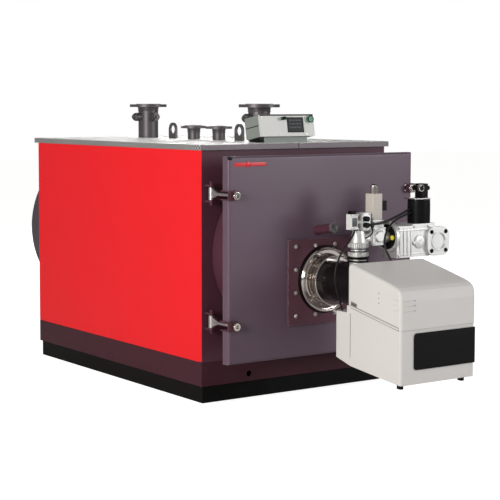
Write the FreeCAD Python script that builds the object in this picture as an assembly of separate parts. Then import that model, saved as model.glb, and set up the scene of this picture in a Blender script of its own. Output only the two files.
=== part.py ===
import FreeCAD, Part
import math, os

# Hot-water boiler with a hinged front door that carries its burner and gas train.
# Millimetres, +Z up. The origin is the centre of the base frame's underside and
# the front of the boiler looks towards -Y. Unless a name says otherwise, lengths
# along Y are measured from the face of the front panel, negative to the front.

# ---- casing and base ----
CASE_W = 1278.0          # width over the side panels
CASE_L = 1895.0          # length, front panel face to rear panel face
BASE_H = 93.0            # height of the base frame
BASE_INSET = 12.0        # base frame set in from the casing
CHANNEL_W = 50.0         # flange width of the base channels
CHANNEL_T = 6.0
SKIRT_TOP = 225.0        # top of the plinth band
SKIRT_LIP = 40.0         # folded lips of the plinth band
SKIRT_HOLE = (-325.0, 134.0, 17.0)   # x, z and radius of the hole in the front
PANEL_TOP = 1370.0       # top of the side, front and rear panels
PANEL_T = 40.0           # side panel thickness, skin and insulation
END_T = 30.0             # front and rear panel thickness
SKIN_T = 2.0             # outer skin of a side panel
SHADOW = 4.0             # gap between plinth band and side panel skin
SHEET = 4.0              # folded sheet
DECK_TOP = 1400.0        # walking surface
DECK_T = 6.0             # tread plate
DECK_OVER = 18.0         # overhang all round
DECK_RETURN = 55.0       # folded return that lies on the panels
DECK_SPLIT = 966.0       # joint between front and rear plates
DECK_JOINT = 1.0
TRIM_JOINT = 5.0         # gap between the two front trims
GAP = 0.3                # clearance between curved faces

# ---- pressure vessel ----
SHELL_R = 556.0          # shell outer radius
SHELL_WALL = 10.0
AXIS_Z = 806.0           # shell centre height
COLLAR_OUT = 190.0       # front collar stands out of the front panel
COLLAR_WIDE = 13.0       # the collar's oval is wider than the shell, and lower
COLLAR_LOW = 59.0
COLLAR_WALL = 10.0
SHELL_CLEAR = 2.0        # panel holes round the collar and the shell
FIRE_Z = 662.0           # furnace and burner centre height
FURN_R = 268.0           # furnace outer radius
FURN_WALL = 8.0
FURN_BACK = 248.0        # end of the furnace, from the rear panel face
FURN_END = 12.0          # furnace end plate
TUBE_R = 32.0            # smoke tube outer radius
TUBE_WALL = 4.0
TUBE_OUT = 3.0           # tubes stand proud of the tube plates
PLATE_T = 20.0           # tube plate thickness
REAR_PLATE = 40.0        # rear tube plate, from the rear panel face
TUBE_ROWS = ((352.0, -24.0, 204.0, 17), (430.0, 18.0, 162.0, 13), (508.0, 46.0, 134.0, 9))
SADDLE_Y = (330.0, CASE_L - 330.0)
SADDLE_HW = 480.0
SADDLE_T = 16.0
SADDLE_RISE = 306.0      # saddle top above the bottom of the shell
SMOKE_R = 549.0
SMOKE_L = 285.0
SMOKE_WALL = 5.0
COVER_T = 8.0            # smoke box cover
FLUE_R = 175.0
FLUE_L = 120.0
FLUE_WALL = 4.0

# ---- deck fittings: y, tube radius, wall, flange radius, flange underside, flange
# thickness, bolt circle, holes, hole radius ----
MAIN_NOZZLES = ((360.0, 64.0, 5.0, 119.0, 1597.0, 18.0, 200.0, 8, 9.0),
                (CASE_L - 305.0, 64.0, 5.0, 119.0, 1597.0, 18.0, 200.0, 8, 9.0))
SAFETY_NOZZLES = ((776.0, 38.0, 4.0, 80.0, 1468.0, 16.0, 130.0, 4, 7.0),
                  (CASE_L - 844.0, 38.0, 4.0, 80.0, 1468.0, 16.0, 130.0, 4, 7.0))
FACE_RAISE = 3.0         # raised sealing face
NECK_RISE = 22.0         # weld neck below a flange, and how far it widens
NECK_FLARE = 4.0
EYE_Y = (560.0, CASE_L - 605.0)
EYE_HW = 43.0
EYE_T = 12.0
EYE_Z = 1457.0
EYE_HOLE = 27.0
POCKET_Z = 1534.0        # sensor sockets on the main nozzles, to the left and to the front
POCKET_R = 27.0
POCKET_L = 34.0
DECK_CLEAR = 10.0        # deck cut-outs round what stands through

# ---- control box ----
CAB_HW = 188.0
CAB_Y = 77.0
CAB_D = 145.0
CAB_Z = 1436.0
CAB_H = 125.0
CAB_TILT = 10.0
BEZEL_T = 14.0
WINDOW = (2.0, 108.0, 24.0, 22.0)     # left, right, bottom and top margins

# ---- door and its clamps ----
DOOR_IN = 5.0            # door narrower than the casing by this on each side
DOOR_Z0 = 246.0
DOOR_Z1 = 1343.0
DOOR_GAP = 5.0           # between the collar and the door
DOOR_T = 52.0
DOOR_ROUND = 14.0
LINING_OVER = 6.0        # lining board larger than the collar by this all round
LINING_T = 40.0
BORE_R = 116.0           # burner hole in the door
LINING_BORE = 112.0
HINGE_IN = 34.0          # clamp pins, in from either side of the casing
HINGE_Y = -45.0
CLAMP_Z = (452.0, 1140.0)
PIN_R = 9.0
PIN_HL = 54.0
ARM_Z = 42.0             # bracket arms above and below the rod
ARM_T = 12.0
EYE_HL = 33.0            # half length of a tie rod's eye
EYE_WALL = 8.0
SLOT_PLAY = 1.2          # a fork's slot over its pin
ROD_R = 10.0
ROD_OUT = 33.0           # rod end beyond the door, inside its ring nut
NOTCH_HH = 26.0          # half height of the door's edge notches
NOTCH_IN = 22.0          # notch depth inside the pin
LUG_T = 6.0
LUG_OUT = 16.0
RING_R = 22.0
RING_L = 26.0
SIGHT = (-41.0, 930.0)   # sight tube x and z at the door
SIGHT_R = 25.0
SIGHT_BORE = 16.0
SIGHT_L = 150.0
SIGHT_TILT = 9.0
SIGHT_SINK = 20.0
SIGHT_RING = 54.0        # across flats
SIGHT_RING_L = 16.0

# ---- burner ----
PLATE_HW = 250.0
PLATE_Z0 = 422.0
PLATE_Z1 = 889.0
MOUNT_T = 12.0
NECK_R = 112.0
NECK_WALL = 8.0
FLANGE_R = 178.0
FLAME_R = 95.0
FLAME_WALL = 4.0
FLAME_L = 370.0
FLAME_BACK = 20.0        # flame tube starts this far in front of the plate
HOOD_X0 = -200.0
HOOD_X1 = 305.0
HOOD_FRONT = -1110.0
HOOD_REAR = -690.0
HOOD_EDGE = 16.0
HOOD_CORNER = 28.0       # rear corners of the hood
HOUSING_CORNER = 18.0    # rear corners of the lower housing
HOUSING_REAR = -592.0
HOUSING_LOW = 306.0      # its underside at the rear
HOUSING_CLEAR = 5.0      # between its top and the neck
SEAM_REAR = 583.0        # hood seam height at the rear and at the front
SEAM_FRONT = 500.0
SEAM_STEP = 3.0          # the lower housing is set in by this much
FASCIA = (-110.0, 301.0, 298.0, 482.0)
FASCIA_OUT = 3.0
FOOT_X = (-170.0, 240.0)

# ---- gas train, on a run along X above the neck ----
RUN_Y = -540.0
RUN_Z = 905.0
RUN_R = 31.0
V1_X = (66.0, 150.0)
V1_Z = (867.0, 962.0)
V1_HD = 44.0
ACT_X = (72.0, 140.0)
ACT_Z = (1000.0, 1141.0)
ACT_HD = 32.0
CAP_R = 23.0
CAP_H = 41.0
BLOCK_X = (4.0, 60.0)
BLOCK_Z = (948.0, 1042.0)
BLOCK_HD = 28.0
SWITCH_X = (-68.0, -20.0)
SWITCH_Z = (955.0, 1037.0)
SWITCH_HD = 22.0
KNOB_Z = (978.0, 1011.0)
KNOB_X = 22.0
V2_X = (200.0, 450.0)
V2_Z = (792.0, 962.0)
V2_HD = 60.0
V2_FLANGE_R = 83.0
V2_FLANGE_T = 18.0
PORT_X = 501.0
PORT_Z = 872.0
PORT_HW = 80.0
PORT_T = 20.0
PORT_ROUND = 50.0
PORT_PCD = 145.0
PORT_HOLE = 8.5
PORT_SEAT = 44.0
COIL_X = 426.0
COIL_R = 61.0
COIL_Z = (970.0, 1101.0)

Y0 = -CASE_L / 2.0       # row y of the front panel face
HW = CASE_W / 2.0
BX = HW - BASE_INSET     # half width of the base frame
DOOR_BACK = -COLLAR_OUT - DOOR_GAP
DOOR_FRONT = DOOR_BACK - DOOR_T
MOUNT_F = DOOR_FRONT - MOUNT_T
SHELL_IN = SHELL_R - SHELL_WALL
COLLAR_A = SHELL_R + COLLAR_WIDE
COLLAR_B = SHELL_R - COLLAR_LOW
DOOR_HW = HW - DOOR_IN
HINGE_X = HW - HINGE_IN

V = FreeCAD.Vector
ALONG_X = (1, 0, 0)
ALONG_Y = (0, 1, 0)
FORWARD = (0, -1, 0)
UP = (0, 0, 1)


def box(x0, x1, y0, y1, z0, z1):
    """Box between limits; x may be given outer side first."""
    return Part.makeBox(abs(x1 - x0), y1 - y0, z1 - z0, V(min(x0, x1), Y0 + y0, z0))


def cyl(r, h, x, y, z, axis):
    return Part.makeCylinder(r, h, V(x, Y0 + y, z), V(*axis))


def tube(ro, ri, h, x, y, z, axis):
    return cyl(ro, h, x, y, z, axis).cut(cyl(ri, h, x, y, z, axis))


def fuse(shapes):
    return shapes[0].fuse(shapes[1:]).removeSplitter()


def oval(a, b, h, y):
    """Oval bar along Y, centred on the shell's axis, with half width a and half height b."""
    e = Part.Ellipse(V(0, Y0 + y, AXIS_Z), a, b)
    e.Axis = V(0, 1, 0)
    e.XAxis = V(1, 0, 0)
    return Part.Face(Part.Wire(e.toShape())).extrude(V(0, h, 0))


def hexa(flats, h, x, y, z, axis, turn=0.0):
    """Hexagonal prism that stands on a point along an axis."""
    r = flats / math.sqrt(3)
    pts = [V(r * math.cos(a), r * math.sin(a), 0) for a in (math.radians(60.0 * i + turn) for i in range(7))]
    s = Part.Face(Part.makePolygon(pts)).extrude(V(0, 0, h))
    s.Placement = FreeCAD.Placement(V(x, Y0 + y, z), FreeCAD.Rotation(V(0, 0, 1), V(*axis)))
    return s


def turned_y(profile, x, z):
    """Turned piece about an axis along Y, from (radius, y) points."""
    pts = [V(x + r, Y0 + y, z) for r, y in profile + profile[:1]]
    return Part.Face(Part.makePolygon(pts)).revolve(V(x, 0, z), V(0, 1, 0), 360)


def turned_z(profile, x, y):
    """Turned piece about an upright axis, from (radius, z) points."""
    pts = [V(x + r, Y0 + y, z) for r, z in profile + profile[:1]]
    return Part.Face(Part.makePolygon(pts)).revolve(V(x, Y0 + y, 0), V(0, 0, 1), 360)


def prism_x(profile, x0, x1):
    """Outline of (y, z) points drawn out along X."""
    pts = [V(x0, Y0 + y, z) for y, z in profile + profile[:1]]
    return Part.Face(Part.makePolygon(pts)).extrude(V(x1 - x0, 0, 0))


def prism_z(profile, z0, z1):
    """Outline of (x, y) points drawn upwards."""
    pts = [V(x, Y0 + y, z0) for x, y in profile + profile[:1]]
    return Part.Face(Part.makePolygon(pts)).extrude(V(0, 0, z1 - z0))


def rounded(shape, r, test):
    """Round each edge whose middle point and length pass the test."""
    edges = [e for e in shape.Edges if test(e.valueAt((e.FirstParameter + e.LastParameter) / 2.0), e.Length)]
    return shape.makeFillet(r, edges)


def near(a, b):
    return abs(a - b) < 0.1


def save(name, shapes):
    shape = Part.makeCompound(shapes) if isinstance(shapes, list) else shapes
    shape.exportStep("parts/" + name + ".step")


os.makedirs("parts", exist_ok=True)

# ---- base frame: two long rails and five cross members, all folded channels ----
rails = []
for s in (-1, 1):
    out, tip = s * BX, s * (BX - CHANNEL_W)
    ya, yb = BASE_INSET, CASE_L - BASE_INSET
    rail = [box(out, out - s * CHANNEL_T, ya, yb, 0, BASE_H),
            box(out, tip, ya, yb, 0, CHANNEL_T), box(out, tip, ya, yb, BASE_H - CHANNEL_T, BASE_H),
            box(out, tip, ya, ya + CHANNEL_T, 0, BASE_H), box(out, tip, yb - CHANNEL_T, yb, 0, BASE_H)]
    rails.append(fuse(rail))
save("base_rails", rails)

members = []
cross = [(BASE_INSET, 1), (CASE_L - BASE_INSET - CHANNEL_W, -1)]
cross += [(y - CHANNEL_W / 2.0, 1) for y in (SADDLE_Y[0], CASE_L / 2.0, SADDLE_Y[1])]
for y, face in cross:
    x = BX - CHANNEL_W
    web = y if face > 0 else y + CHANNEL_W - CHANNEL_T
    members.append(fuse([box(-x, x, web, web + CHANNEL_T, 0, BASE_H), box(-x, x, y, y + CHANNEL_W, 0, CHANNEL_T),
                         box(-x, x, y, y + CHANNEL_W, BASE_H - CHANNEL_T, BASE_H)]))
save("cross_members", members)

# ---- plinth band: folded ring on the base frame, lips turned in ----
skirt = box(-HW, HW, 0, CASE_L, BASE_H, SKIRT_TOP)
skirt = skirt.cut(box(-HW + SHEET, HW - SHEET, SHEET, CASE_L - SHEET, BASE_H + SHEET, SKIRT_TOP - SHEET))
skirt = skirt.cut(box(-HW + SKIRT_LIP, HW - SKIRT_LIP, SKIRT_LIP, CASE_L - SKIRT_LIP, BASE_H - 1, SKIRT_TOP + 1))
save("plinth_band", skirt.cut(cyl(SKIRT_HOLE[2], 3 * SHEET, SKIRT_HOLE[0], -SHEET, SKIRT_HOLE[1], ALONG_Y)))

# ---- saddles between cross members and shell ----
saddles = []
for y in SADDLE_Y:
    s = box(-SADDLE_HW, SADDLE_HW, y - SADDLE_T / 2, y + SADDLE_T / 2, BASE_H, AXIS_Z - SHELL_R + SADDLE_RISE)
    saddles.append(s.cut(cyl(SHELL_R + GAP, 2 * SADDLE_T, 0, y - SADDLE_T, AXIS_Z, ALONG_Y)))
save("saddles", saddles)

# ---- insulated panels ----
panels = []
for s in (-1, 1):
    skin = box(s * HW, s * (HW - SKIN_T), 0, CASE_L, SKIRT_TOP + SHADOW, PANEL_TOP)
    core = box(s * (HW - SKIN_T), s * (HW - PANEL_T), END_T, CASE_L - END_T, SKIRT_TOP, PANEL_TOP)
    panels.append(fuse([skin, core]))
save("side_panels", panels)
x = HW - SKIN_T - GAP
hole = oval(COLLAR_A + SHELL_CLEAR, COLLAR_B + SHELL_CLEAR, 2 * END_T, -END_T / 2)
save("front_panel", box(-x, x, 0, END_T, SKIRT_TOP, PANEL_TOP).cut(hole))
hole = cyl(SHELL_R + SHELL_CLEAR, 2 * END_T, 0, CASE_L - 1.5 * END_T, AXIS_Z, ALONG_Y)
save("rear_panel", box(-x, x, CASE_L - END_T, CASE_L, SKIRT_TOP, PANEL_TOP).cut(hole))

# ---- front collar: oval frame between the shell and the door ----
collar = oval(COLLAR_A, COLLAR_B, COLLAR_OUT + END_T, -COLLAR_OUT)
collar_bore = oval(COLLAR_A - COLLAR_WALL, COLLAR_B - COLLAR_WALL, COLLAR_OUT + END_T, -COLLAR_OUT)
save("front_collar", collar.cut(collar_bore))

# ---- shell and its flanged nozzles ----
NOZZLES = MAIN_NOZZLES + SAFETY_NOZZLES
shell_solid = cyl(SHELL_R, CASE_L - END_T, 0, END_T, AXIS_Z, ALONG_Y)
shell = shell_solid.cut(cyl(SHELL_IN, CASE_L, 0, 0, AXIS_Z, ALONG_Y))
for y, r, wall, *rest in NOZZLES:
    shell = shell.cut(cyl(r - wall, SHELL_R, 0, y, AXIS_Z, UP))
save("boiler_shell", shell)


def nozzle(y, r, wall, flange_r, under, thick, pcd, count, hole_r):
    """Pipe stub welded on the shell, with a weld-neck flange and a raised face."""
    top = under + thick
    s = cyl(r, under - AXIS_Z, 0, y, AXIS_Z, UP).fuse(cyl(flange_r, thick, 0, y, under, UP))
    s = s.fuse(turned_z([(r, under), (r + NECK_FLARE, under), (r, under - NECK_RISE)], 0, y))
    s = s.fuse(cyl(r + 16, FACE_RAISE, 0, y, top, UP))
    s = s.cut(cyl(r - wall, 2 * SHELL_R, 0, y, AXIS_Z - 1, UP)).cut(shell_solid)
    for i in range(count):
        a = math.radians(360.0 * (i + 0.5) / count)
        s = s.cut(cyl(hole_r, 2 * thick, pcd / 2 * math.cos(a), y + pcd / 2 * math.sin(a), under - thick / 2, UP))
    return s.removeSplitter()


save("main_nozzles", [nozzle(*n) for n in MAIN_NOZZLES])
save("safety_nozzles", [nozzle(*n) for n in SAFETY_NOZZLES])

# ---- furnace, tube plates and smoke tubes ----
tubes = []
for ring_r, a0, a1, n in TUBE_ROWS:
    for i in range(n):
        a = math.radians(a0 + (a1 - a0) * i / (n - 1))
        x, z = ring_r * math.cos(a), FIRE_Z + ring_r * math.sin(a)
        if math.hypot(x, z - AXIS_Z) < SHELL_IN - 1.5 * TUBE_R:
            tubes.append((x, z))
rear_y = CASE_L - REAR_PLATE
plates = []
for y in (END_T, rear_y):
    p = cyl(SHELL_IN - GAP, PLATE_T, 0, y, AXIS_Z, ALONG_Y)
    plates.append(p.cut([cyl(TUBE_R + GAP, 3 * PLATE_T, x, y - PLATE_T, z, ALONG_Y) for x, z in tubes]))
plates[0] = plates[0].cut(cyl(FURN_R + GAP, 3 * PLATE_T, 0, END_T - PLATE_T, FIRE_Z, ALONG_Y))
save("tube_plates", plates)
tube_y = END_T - TUBE_OUT
tube_l = rear_y + PLATE_T + TUBE_OUT - tube_y
furn_l = CASE_L - FURN_BACK - tube_y
save("smoke_tubes", [tube(TUBE_R, TUBE_R - TUBE_WALL, tube_l, x, tube_y, z, ALONG_Y) for x, z in tubes])
save("furnace", tube(FURN_R, FURN_R - FURN_WALL, furn_l, 0, tube_y, FIRE_Z, ALONG_Y))
save("furnace_end", cyl(FURN_R, FURN_END, 0, tube_y + furn_l, FIRE_Z, ALONG_Y))

# ---- smoke box, its cover and the flue spigot ----
cover_y = CASE_L + SMOKE_L - COVER_T
save("smoke_box", tube(SMOKE_R, SMOKE_R - SMOKE_WALL, SMOKE_L - COVER_T, 0, CASE_L, AXIS_Z, ALONG_Y))
save("smoke_box_cover", tube(SMOKE_R, FLUE_R - FLUE_WALL, COVER_T, 0, cover_y, AXIS_Z, ALONG_Y))
save("flue_spigot", tube(FLUE_R, FLUE_R - FLUE_WALL, FLUE_L, 0, CASE_L + SMOKE_L, AXIS_Z, ALONG_Y))

# ---- deck: four tread plates with folded edges, and the painted front trims ----
cuts = [cyl(n[1] + DECK_CLEAR, 3 * (DECK_TOP - PANEL_TOP), 0, n[0], PANEL_TOP - 20, UP) for n in NOZZLES]
for y in EYE_Y:
    cuts.append(box(-EYE_T, EYE_T, y - EYE_HW - DECK_CLEAR, y + EYE_HW + DECK_CLEAR, PANEL_TOP - 1, DECK_TOP + 1))
XO = HW + DECK_OVER
XI = DECK_JOINT / 2.0
decks, trims = [], []
for s in (-1, 1):
    for y0, y1 in ((-DECK_OVER, DECK_SPLIT - XI), (DECK_SPLIT + XI, CASE_L + DECK_OVER)):
        ya, yb = max(y0, 0), min(y1, CASE_L)
        parts = [box(s * XI, s * XO, y0, y1, DECK_TOP - DECK_T, DECK_TOP),
                 box(s * (XO - SHEET), s * XO, y0, y1, PANEL_TOP, DECK_TOP),
                 box(s * (XO - DECK_RETURN), s * XO, ya, yb, PANEL_TOP, PANEL_TOP + SHEET),
                 box(s * XI, s * (XI + SHEET), max(y0, END_T + SHEET), yb, PANEL_TOP, DECK_TOP)]
        if y0 > 0:
            parts += [box(s * XI, s * XO, y1 - SHEET, y1, PANEL_TOP, DECK_TOP),
                      box(s * XI, s * XO, y1 - SKIRT_LIP - SHEET, y1, PANEL_TOP, PANEL_TOP + SHEET)]
        plate = fuse(parts)
        if y0 < 0:
            # the front edge belongs to the trim; the two meet in a mitre at the corner
            mitre = [(s * (XO + 1), y0 - 1), (0, y0 - 1), (0, y0 + SHEET + GAP),
                     (s * (XO - SHEET - GAP), y0 + SHEET + GAP), (s * (XO + GAP), y0 - GAP)]
            plate = plate.cut(prism_z(mitre, PANEL_TOP - 1, DECK_TOP + 1))
        decks.append(plate.cut(cuts))
    xt = TRIM_JOINT / 2.0
    outline = [(s * xt, -DECK_OVER), (s * (XO - GAP), -DECK_OVER), (s * (XO - GAP - SHEET), -DECK_OVER + SHEET),
               (s * xt, -DECK_OVER + SHEET)]
    foot = box(s * xt, s * (XO - DECK_RETURN - 1), -DECK_OVER, END_T, PANEL_TOP, PANEL_TOP + SHEET)
    trims.append(fuse([prism_z(outline, PANEL_TOP, DECK_TOP), foot]))
save("deck_plates", decks)
save("deck_trims", trims)

# ---- lifting eyes and sensor pockets ----
eyes = []
for y in EYE_Y:
    e = box(-EYE_T / 2, EYE_T / 2, y - EYE_HW, y + EYE_HW, AXIS_Z, EYE_Z)
    e = e.fuse(cyl(EYE_HW, EYE_T, -EYE_T / 2, y, EYE_Z, ALONG_X)).cut(shell_solid)
    eyes.append(e.cut(cyl(EYE_HOLE, 2 * EYE_T, -EYE_T, y, EYE_Z, ALONG_X)).removeSplitter())
save("lifting_eyes", eyes)

pockets = []
for n in MAIN_NOZZLES:
    y, r = n[0], n[1]
    for dx, dy in ((-1, 0), (0, -1)):
        spots = [(dx * d, y + dy * d, POCKET_Z) for d in (0, r - 2 + POCKET_L, r + POCKET_L + 8)]
        b = fuse([cyl(POCKET_R, r - 2 + POCKET_L, *spots[0], (dx, dy, 0)), hexa(40, 12, *spots[1], (dx, dy, 0)),
                  cyl(11, 12, *spots[2], (dx, dy, 0))])
        pockets.append(b.cut(cyl(r, 4 * POCKET_R, 0, y, POCKET_Z - 2 * POCKET_R, UP)))
save("sensor_pockets", pockets)


# ---- control box: leans back on its bracket ----
def lean(shape):
    shape.rotate(V(0, Y0 + CAB_Y, CAB_Z), V(1, 0, 0), -CAB_TILT)
    return shape


cab = box(-CAB_HW, CAB_HW, CAB_Y + BEZEL_T, CAB_Y + CAB_D, CAB_Z, CAB_Z + CAB_H)
save("control_box", lean(rounded(cab, 6.0, lambda m, l: near(l, CAB_D - BEZEL_T))))
bezel = box(-CAB_HW, CAB_HW, CAB_Y, CAB_Y + BEZEL_T, CAB_Z, CAB_Z + CAB_H)
bezel = rounded(bezel, 6.0, lambda m, l: near(l, BEZEL_T))
wx0, wx1, wz0, wz1 = WINDOW[0], WINDOW[1], CAB_Z + WINDOW[2], CAB_Z + CAB_H - WINDOW[3]
bezel = bezel.cut(box(wx0 - GAP, wx1 + GAP, CAB_Y - 1, CAB_Y + 2, wz0 - GAP, wz1 + GAP))
save("control_face", lean(bezel))
save("control_display", lean(box(wx0, wx1, CAB_Y - 2, CAB_Y + 2, wz0, wz1)))
save("control_knobs", [lean(cyl(r, h, x, CAB_Y, CAB_Z + z, FORWARD))
                       for r, h, x, z in ((17, 18, 156, 95), (9, 14, -34, 100))])
bracket = box(-150, 150, CAB_Y + 26, CAB_Y + 110, DECK_TOP, CAB_Z + 30)
bracket = bracket.cut(box(-146, 146, CAB_Y + 30, CAB_Y + 106, DECK_TOP + SHEET, CAB_Z + 60))
above = lean(box(-2 * CAB_HW, 2 * CAB_HW, CAB_Y - CAB_D, CAB_Y + 3 * CAB_D, CAB_Z, CAB_Z + 3 * CAB_H))
save("control_bracket", bracket.cut(above))

# ---- front door: steel tray, lining board, notched edges for the tie rods ----
door = box(-DOOR_HW, DOOR_HW, DOOR_FRONT, DOOR_BACK, DOOR_Z0, DOOR_Z1)
door = rounded(door, DOOR_ROUND, lambda m, l: near(m.y, Y0 + DOOR_FRONT))
lining_a, lining_b = COLLAR_A + LINING_OVER, COLLAR_B + LINING_OVER
door = door.cut(oval(lining_a, lining_b, LINING_T + 1, DOOR_BACK - LINING_T))
door = door.cut(cyl(BORE_R, 4 * DOOR_T, 0, DOOR_BACK + DOOR_T, FIRE_Z, FORWARD))
door = door.cut([box(s * (HINGE_X - NOTCH_IN), s * (DOOR_HW + 1), DOOR_FRONT - 1, DOOR_BACK + 1,
                     z - NOTCH_HH, z + NOTCH_HH) for s in (-1, 1) for z in CLAMP_Z])
save("door", door)
lining = oval(lining_a - GAP, lining_b - GAP, LINING_T, DOOR_BACK - LINING_T)
save("door_lining", lining.cut(cyl(LINING_BORE, 4 * LINING_T, 0, DOOR_BACK + LINING_T, FIRE_Z, FORWARD)))


# ---- clamps: bracket with pin, tie rod, lug in the door notch, nuts ----
def clamp_lug(s, z):
    x0, x1 = HINGE_X - NOTCH_IN + 3, DOOR_HW + 10
    lug = box(s * x0, s * x1, DOOR_FRONT - LUG_OUT, DOOR_BACK + 8, z - NOTCH_HH, z + NOTCH_HH)
    lug = lug.cut(box(s * (x0 - 1), s * (x1 + 1), DOOR_FRONT - LUG_OUT + 10, DOOR_BACK + 9,
                      z - NOTCH_HH + LUG_T, z + NOTCH_HH - LUG_T))
    return lug.cut(cyl(ROD_R + GAP, 3 * LUG_OUT, s * HINGE_X, DOOR_FRONT - 2 * LUG_OUT, z, ALONG_Y))


def tie_rod(s, z):
    """Forged eye round the hinge pin, or a fork on the side that opens."""
    x, end = s * HINGE_X, DOOR_FRONT - ROD_OUT
    rod = cyl(ROD_R, HINGE_Y - 40 - end, x, end, z, ALONG_Y)
    taper = prism_x([(HINGE_Y - 4, z - 30), (HINGE_Y - 4, z + 30), (HINGE_Y - 62, z + ROD_R),
                     (HINGE_Y - 62, z - ROD_R)], x - 7, x + 7)
    eye = cyl(PIN_R + EYE_WALL, 2 * EYE_HL, x, HINGE_Y, z - EYE_HL, UP)
    rod = rod.fuse([taper, eye]).cut(cyl(PIN_R + GAP, 3 * EYE_HL, x, HINGE_Y, z - 1.5 * EYE_HL, UP))
    if s < 0:
        w = PIN_R + SLOT_PLAY
        rod = rod.cut(box(x - w, x + w, HINGE_Y, HINGE_Y + 4 * PIN_R, z - 1.5 * EYE_HL, z + 1.5 * EYE_HL))
    return rod.removeSplitter()


def clamp_nuts(s, z):
    x, front = s * HINGE_X, DOOR_FRONT - LUG_OUT
    ring = tube(RING_R, ROD_R + GAP, RING_L, x, front - RING_L, z, ALONG_Y)
    ring = rounded(ring, 3.0, lambda m, l: near(m.y, Y0 + front - RING_L) and l > 5 * RING_R)
    back = hexa(34, 14, x, DOOR_FRONT - LUG_OUT + 10 + 14, z, FORWARD)
    return [ring, back.cut(cyl(ROD_R + GAP, 60, x, DOOR_FRONT - 30, z, ALONG_Y))]


def clamp_bracket(s, z):
    x = s * HINGE_X
    parts = [cyl(PIN_R, 2 * PIN_HL, x, HINGE_Y, z - PIN_HL, UP)]
    for d in (-ARM_Z, ARM_Z):
        arm = box(x - 12, x + 12, HINGE_Y - 14, 0, z + d - ARM_T / 2, z + d + ARM_T / 2)
        parts.append(rounded(arm, 8.0, lambda m, l: near(m.y, Y0 + HINGE_Y - 14) and near(l, ARM_T)))
    return fuse(parts)


CORNERS = [(s, z) for s in (-1, 1) for z in CLAMP_Z]
save("door_lugs", [clamp_lug(s, z) for s, z in CORNERS])
save("tie_rods", [tie_rod(s, z) for s, z in CORNERS])
save("clamp_nuts", [n for s, z in CORNERS for n in clamp_nuts(s, z)])
save("clamp_brackets", [clamp_bracket(s, z) for s, z in CORNERS])

# ---- sight tube, tilted up ----
tilt = math.radians(SIGHT_TILT)
axis = (0, -math.cos(tilt), math.sin(tilt))


def on_sight(d):
    """Point at a distance d along the sight tube's axis."""
    return (SIGHT[0], DOOR_FRONT + SIGHT_SINK + axis[1] * d, SIGHT[1] + axis[2] * d)


sight = tube(SIGHT_R, SIGHT_BORE, SIGHT_L, *on_sight(0), axis)
save("sight_tube", sight.cut(box(-2 * DOOR_HW, DOOR_HW, DOOR_FRONT, DOOR_BACK + DOOR_T, DOOR_Z0, DOOR_Z1)))
ring = hexa(SIGHT_RING, SIGHT_RING_L, *on_sight(SIGHT_L), axis, 30)
save("sight_ring", ring.cut(cyl(SIGHT_BORE + 1, 3 * SIGHT_RING_L, *on_sight(SIGHT_L - SIGHT_RING_L), axis)))
save("sight_glass", cyl(SIGHT_BORE + 1 - GAP, 6, *on_sight(SIGHT_L + 5), axis))

# ---- burner: mounting plate, dished flange, neck and flame tube ----
plate = box(-PLATE_HW, PLATE_HW, MOUNT_F, DOOR_FRONT, PLATE_Z0, PLATE_Z1)
plate = rounded(plate, 6.0, lambda m, l: near(l, MOUNT_T))
save("burner_plate", plate.cut(cyl(BORE_R, 4 * MOUNT_T, 0, DOOR_FRONT + MOUNT_T, FIRE_Z, FORWARD)))
dish = [(FLANGE_R, 0), (FLANGE_R, 21), (FLANGE_R - 3, 26), (FLANGE_R - 8, 28), (FLANGE_R - 13, 26),
        (FLANGE_R - 16, 20), (FLANGE_R - 17, 11), (FLANGE_R - 35, 11), (FLANGE_R - 41, 16), (FLANGE_R - 44, 26),
        (FLANGE_R - 45, 72), (FLANGE_R - 42, 78), (FLANGE_R - 42, 84), (FLANGE_R - 46, 88), (FLANGE_R - 52, 88)]
profile = [(NECK_R + GAP, MOUNT_F)] + [(r, MOUNT_F - d) for r, d in dish] + [(NECK_R + GAP, MOUNT_F - dish[-1][1])]
save("burner_flange", turned_y(profile, 0, FIRE_Z))
save("burner_neck", tube(NECK_R, NECK_R - NECK_WALL, MOUNT_F - HOOD_REAR, 0, HOOD_REAR, FIRE_Z, ALONG_Y))
flame_y = MOUNT_F - FLAME_BACK
collar = tube(NECK_R - NECK_WALL - GAP, FLAME_R - FLAME_WALL, 8, 0, flame_y - 8, FIRE_Z, ALONG_Y)
save("flame_tube", fuse([tube(FLAME_R, FLAME_R - FLAME_WALL, FLAME_L, 0, flame_y, FIRE_Z, ALONG_Y), collar]))

# ---- burner hood over its lower housing, fascia and feet ----
upper = [(HOOD_REAR, SEAM_REAR), (HOOD_REAR, 805), (-900, 757), (-1040, 722), (-1075, 710), (-1096, 694),
         (-1107, 672), (HOOD_FRONT, 640), (HOOD_FRONT, SEAM_FRONT)]
hood = prism_x(upper, HOOD_X0, HOOD_X1)
ends = (HOOD_X0, HOOD_X1)
hood = rounded(hood, HOOD_EDGE, lambda m, l: min(abs(m.x - e) for e in ends) < 0.1 and
               not near(m.y, Y0 + HOOD_REAR) and m.z > SEAM_REAR + 1 or
               near(m.y, Y0 + HOOD_FRONT) and min(abs(m.x - e) for e in ends) < 0.1)
hood = rounded(hood, HOOD_CORNER, lambda m, l: near(m.y, Y0 + HOOD_REAR) and l < HOOD_X1 - HOOD_X0 - 60)
save("burner_hood", hood)
house_top = FIRE_Z - NECK_R - HOUSING_CLEAR
slope = (SEAM_FRONT - SEAM_REAR) / (HOOD_FRONT - HOOD_REAR)
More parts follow.
